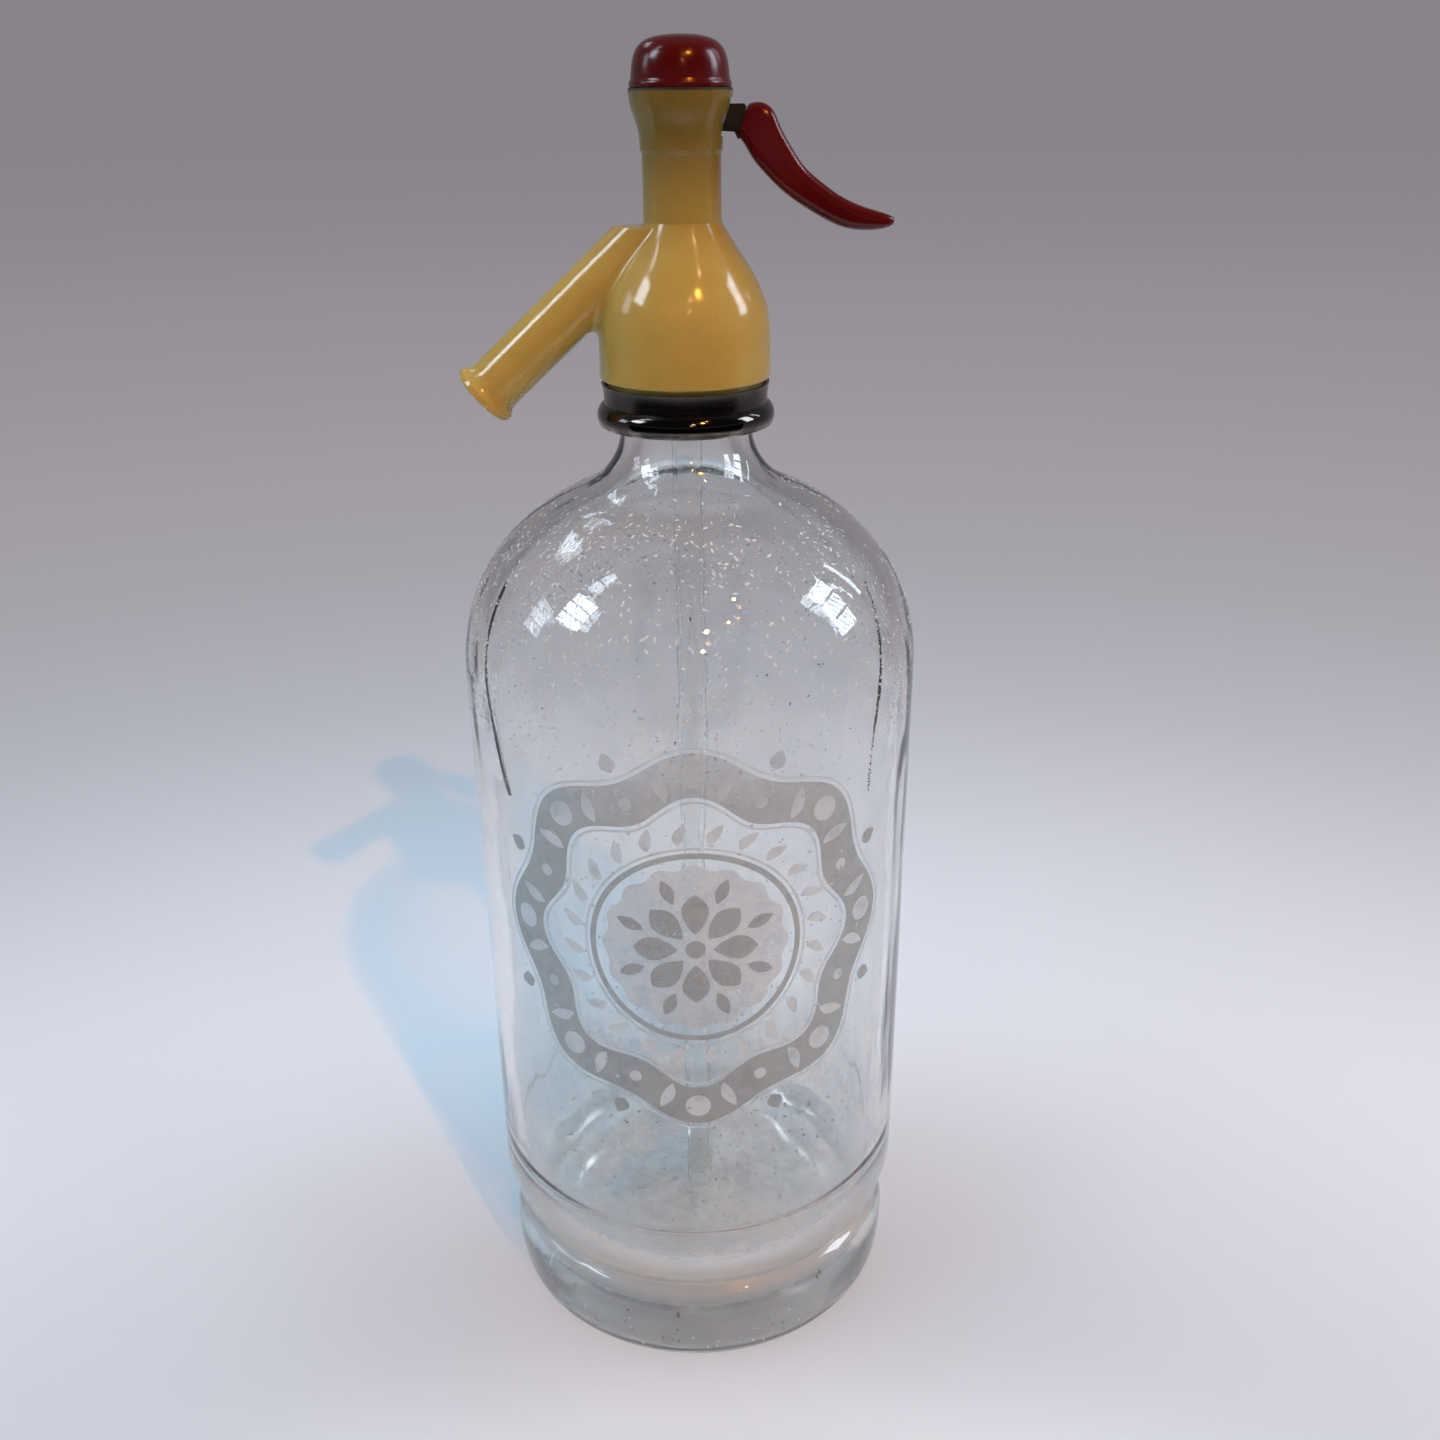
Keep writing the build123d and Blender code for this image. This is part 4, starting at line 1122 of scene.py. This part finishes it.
def make_lights():
    """Cool windows for the reflections, soft panels for the light, and four small warm lamps."""
    make_window("window_left", -74, 37, 2.2, 0.54, 0.66, 20.0, (3, 4))
    make_window("window_left_high", -80, 55, 2.2, 0.16, 0.55, 13.0, (2, 3))
    make_window("window_left_low", -92, 23, 2.2, 0.45, 0.60, 6.0, (3, 4))
    make_window("window_back", -135, 43, 2.4, 0.8, 0.36, 6.0, (4, 2))
    make_window("window_right", 91, 27, 2.2, 0.5, 1.05, 17.0, (3, 5))
    make_window("window_strip", 112, 28, 2.2, 0.09, 0.9, 12.0, (1, 4))
    make_window("panel_top", 180, 82, 1.9, 1.7, 1.7, 3.5, shade=(0.64, 0.87, 1.0))
    make_window("panel_left", -80, 38, 2.2, 2.0, 1.6, 2.15)
    make_window("panel_right", 85, 36, 2.2, 2.0, 1.6, 2.3)
    make_lamp("lamp_key", 25, 46, 1.6, 0.010, (1.0, 0.34, 0.03), 42.0)
    for i, (azimuth, elevation) in enumerate([(37, 58), (10, 42), (7, 31)]):
        make_lamp("lamp_%d" % i, azimuth, elevation, 1.25, 0.024, (1.0, 0.58, 0.28), 1.6)


def make_camera():
    data = bpy.data.cameras.new("view")
    data.lens = CAMERA_LENS
    data.sensor_width = SENSOR_WIDTH
    pitch, yaw, roll = radians(CAMERA_PITCH), radians(CAMERA_YAW), radians(CAMERA_ROLL)
    forward = Vector((sin(yaw) * cos(pitch), cos(yaw) * cos(pitch), -sin(pitch)))
    level = Vector((cos(yaw), -sin(yaw), 0.0))
    upright = level.cross(forward)
    right = level * cos(roll) + upright * sin(roll)
    up = upright * cos(roll) - level * sin(roll)
    turn = Matrix((right, up, -forward)).transposed().to_4x4()
    turn.translation = CAMERA_PLACE
    camera = in_scene("view", data)
    camera.matrix_world = turn
    bpy.context.scene.camera = camera


# ---- The whole
def dress(material, *names):
    """Gives CAD nodes their material."""
    for name in names:
        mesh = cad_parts[name].data
        mesh.materials.clear()
        mesh.materials.append(material)


def dress_nodes():
    """Materials of the CAD nodes that show as they are; gives the spring's steel."""
    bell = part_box("head")[0].z
    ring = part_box("collar")[0].z
    # Painted shade: the head turns darker from the bell up to its upright neck and flare, where less
    # light falls.
    painted_top_shade = ((0.175, 0.13, 0.028), bell + 0.030, bell + 0.062)
    ivory = ((0.50, 0.385, 0.10), (0.43, 0.32, 0.072))
    red = ((0.09, 0.0015, 0.0012), (0.058, 0.001, 0.001))
    # The ring's very dark base colour is partly tarnish and partly a painted dark reflection of the
    # room in front; its lighter lower rim is partly a painted reflection of the floor.
    plate = ((0.085, 0.076, 0.07), 0.07, 0.24, (ring, ring + 0.0022))
    dress(gloss_plastic("ivory_plastic", *ivory, 0.11, 0.5, 0.3, painted_top_shade), "head")
    dress(gloss_plastic("red_plastic", *red, 0.16, 0.35, 0.0), "cap", "lever_grip")
    dress(worn_metal("plated_ring", *plate), "collar")
    dress(worn_metal("dark_metal", (0.06, 0.055, 0.05), 0.38, 0.38), "lever_arm")
    steel = worn_metal("spring_steel", (0.55, 0.55, 0.56), 0.25, 0.25)
    dress(steel, "lever_pin")
    brass = worn_metal("brass", (0.62, 0.43, 0.17), 0.28, 0.28)
    dress(brass, "valve_body", "spindle", "washer_screw", "spring_cup", "spindle_nut")
    dress(brass, "split_ring_front", "split_ring_back")
    seals = ("tube_bush", "neck_washer", "cap_washer", "valve_washer", "piston_seal")
    dress(rubber("rubber"), *seals)
    return steel


def main():
    bpy.context.scene.view_settings.view_transform = "Standard"
    make_camera()
    make_world()
    make_lights()
    make_floor()
    make_flag()
    thick = ((0.98, 0.985, 0.98), (0.65, 0.65, 0.65), 0.004)
    thin = ((0.985, 0.985, 0.98), (0.85, 0.85, 0.85), 0.01)
    bottle = make_bottle(clear_glass("clear_glass", *thick))
    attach(bottle, "siphon")
    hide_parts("bottle")
    tube = make_dip_tube(clear_glass("tube_glass", *thin, bend=1.36, rim=0.35))
    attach(tube, "siphon")
    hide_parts("dip_tube")
    added = [make_lime(lime_film("lime_film"))]
    added += make_ornament(
        etched_glass("etched_field", (0.45, 0.54, 0.58), 0.62),
        etched_glass("etched_figures", (0.70, 0.87, 0.98), 0.84),
        etched_glass("etched_petals", (0.46, 0.54, 0.58), 0.42),
        etched_glass("etched_disc", (0.70, 0.84, 0.93), 0.42),
    )
    added += make_wear(
        flake("nicked_glass", (0.80, 0.91, 0.96), (0.66, 0.76, 0.81), 0.95),
        flake("old_dirt", (0.10, 0.085, 0.06), (0.03, 0.025, 0.02), 0.85),
    )
    for piece in added:
        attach(piece, "siphon")
    spring = make_spring(dress_nodes())
    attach(spring, "siphon")
    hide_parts("return_spring")
    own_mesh(spring)


main()
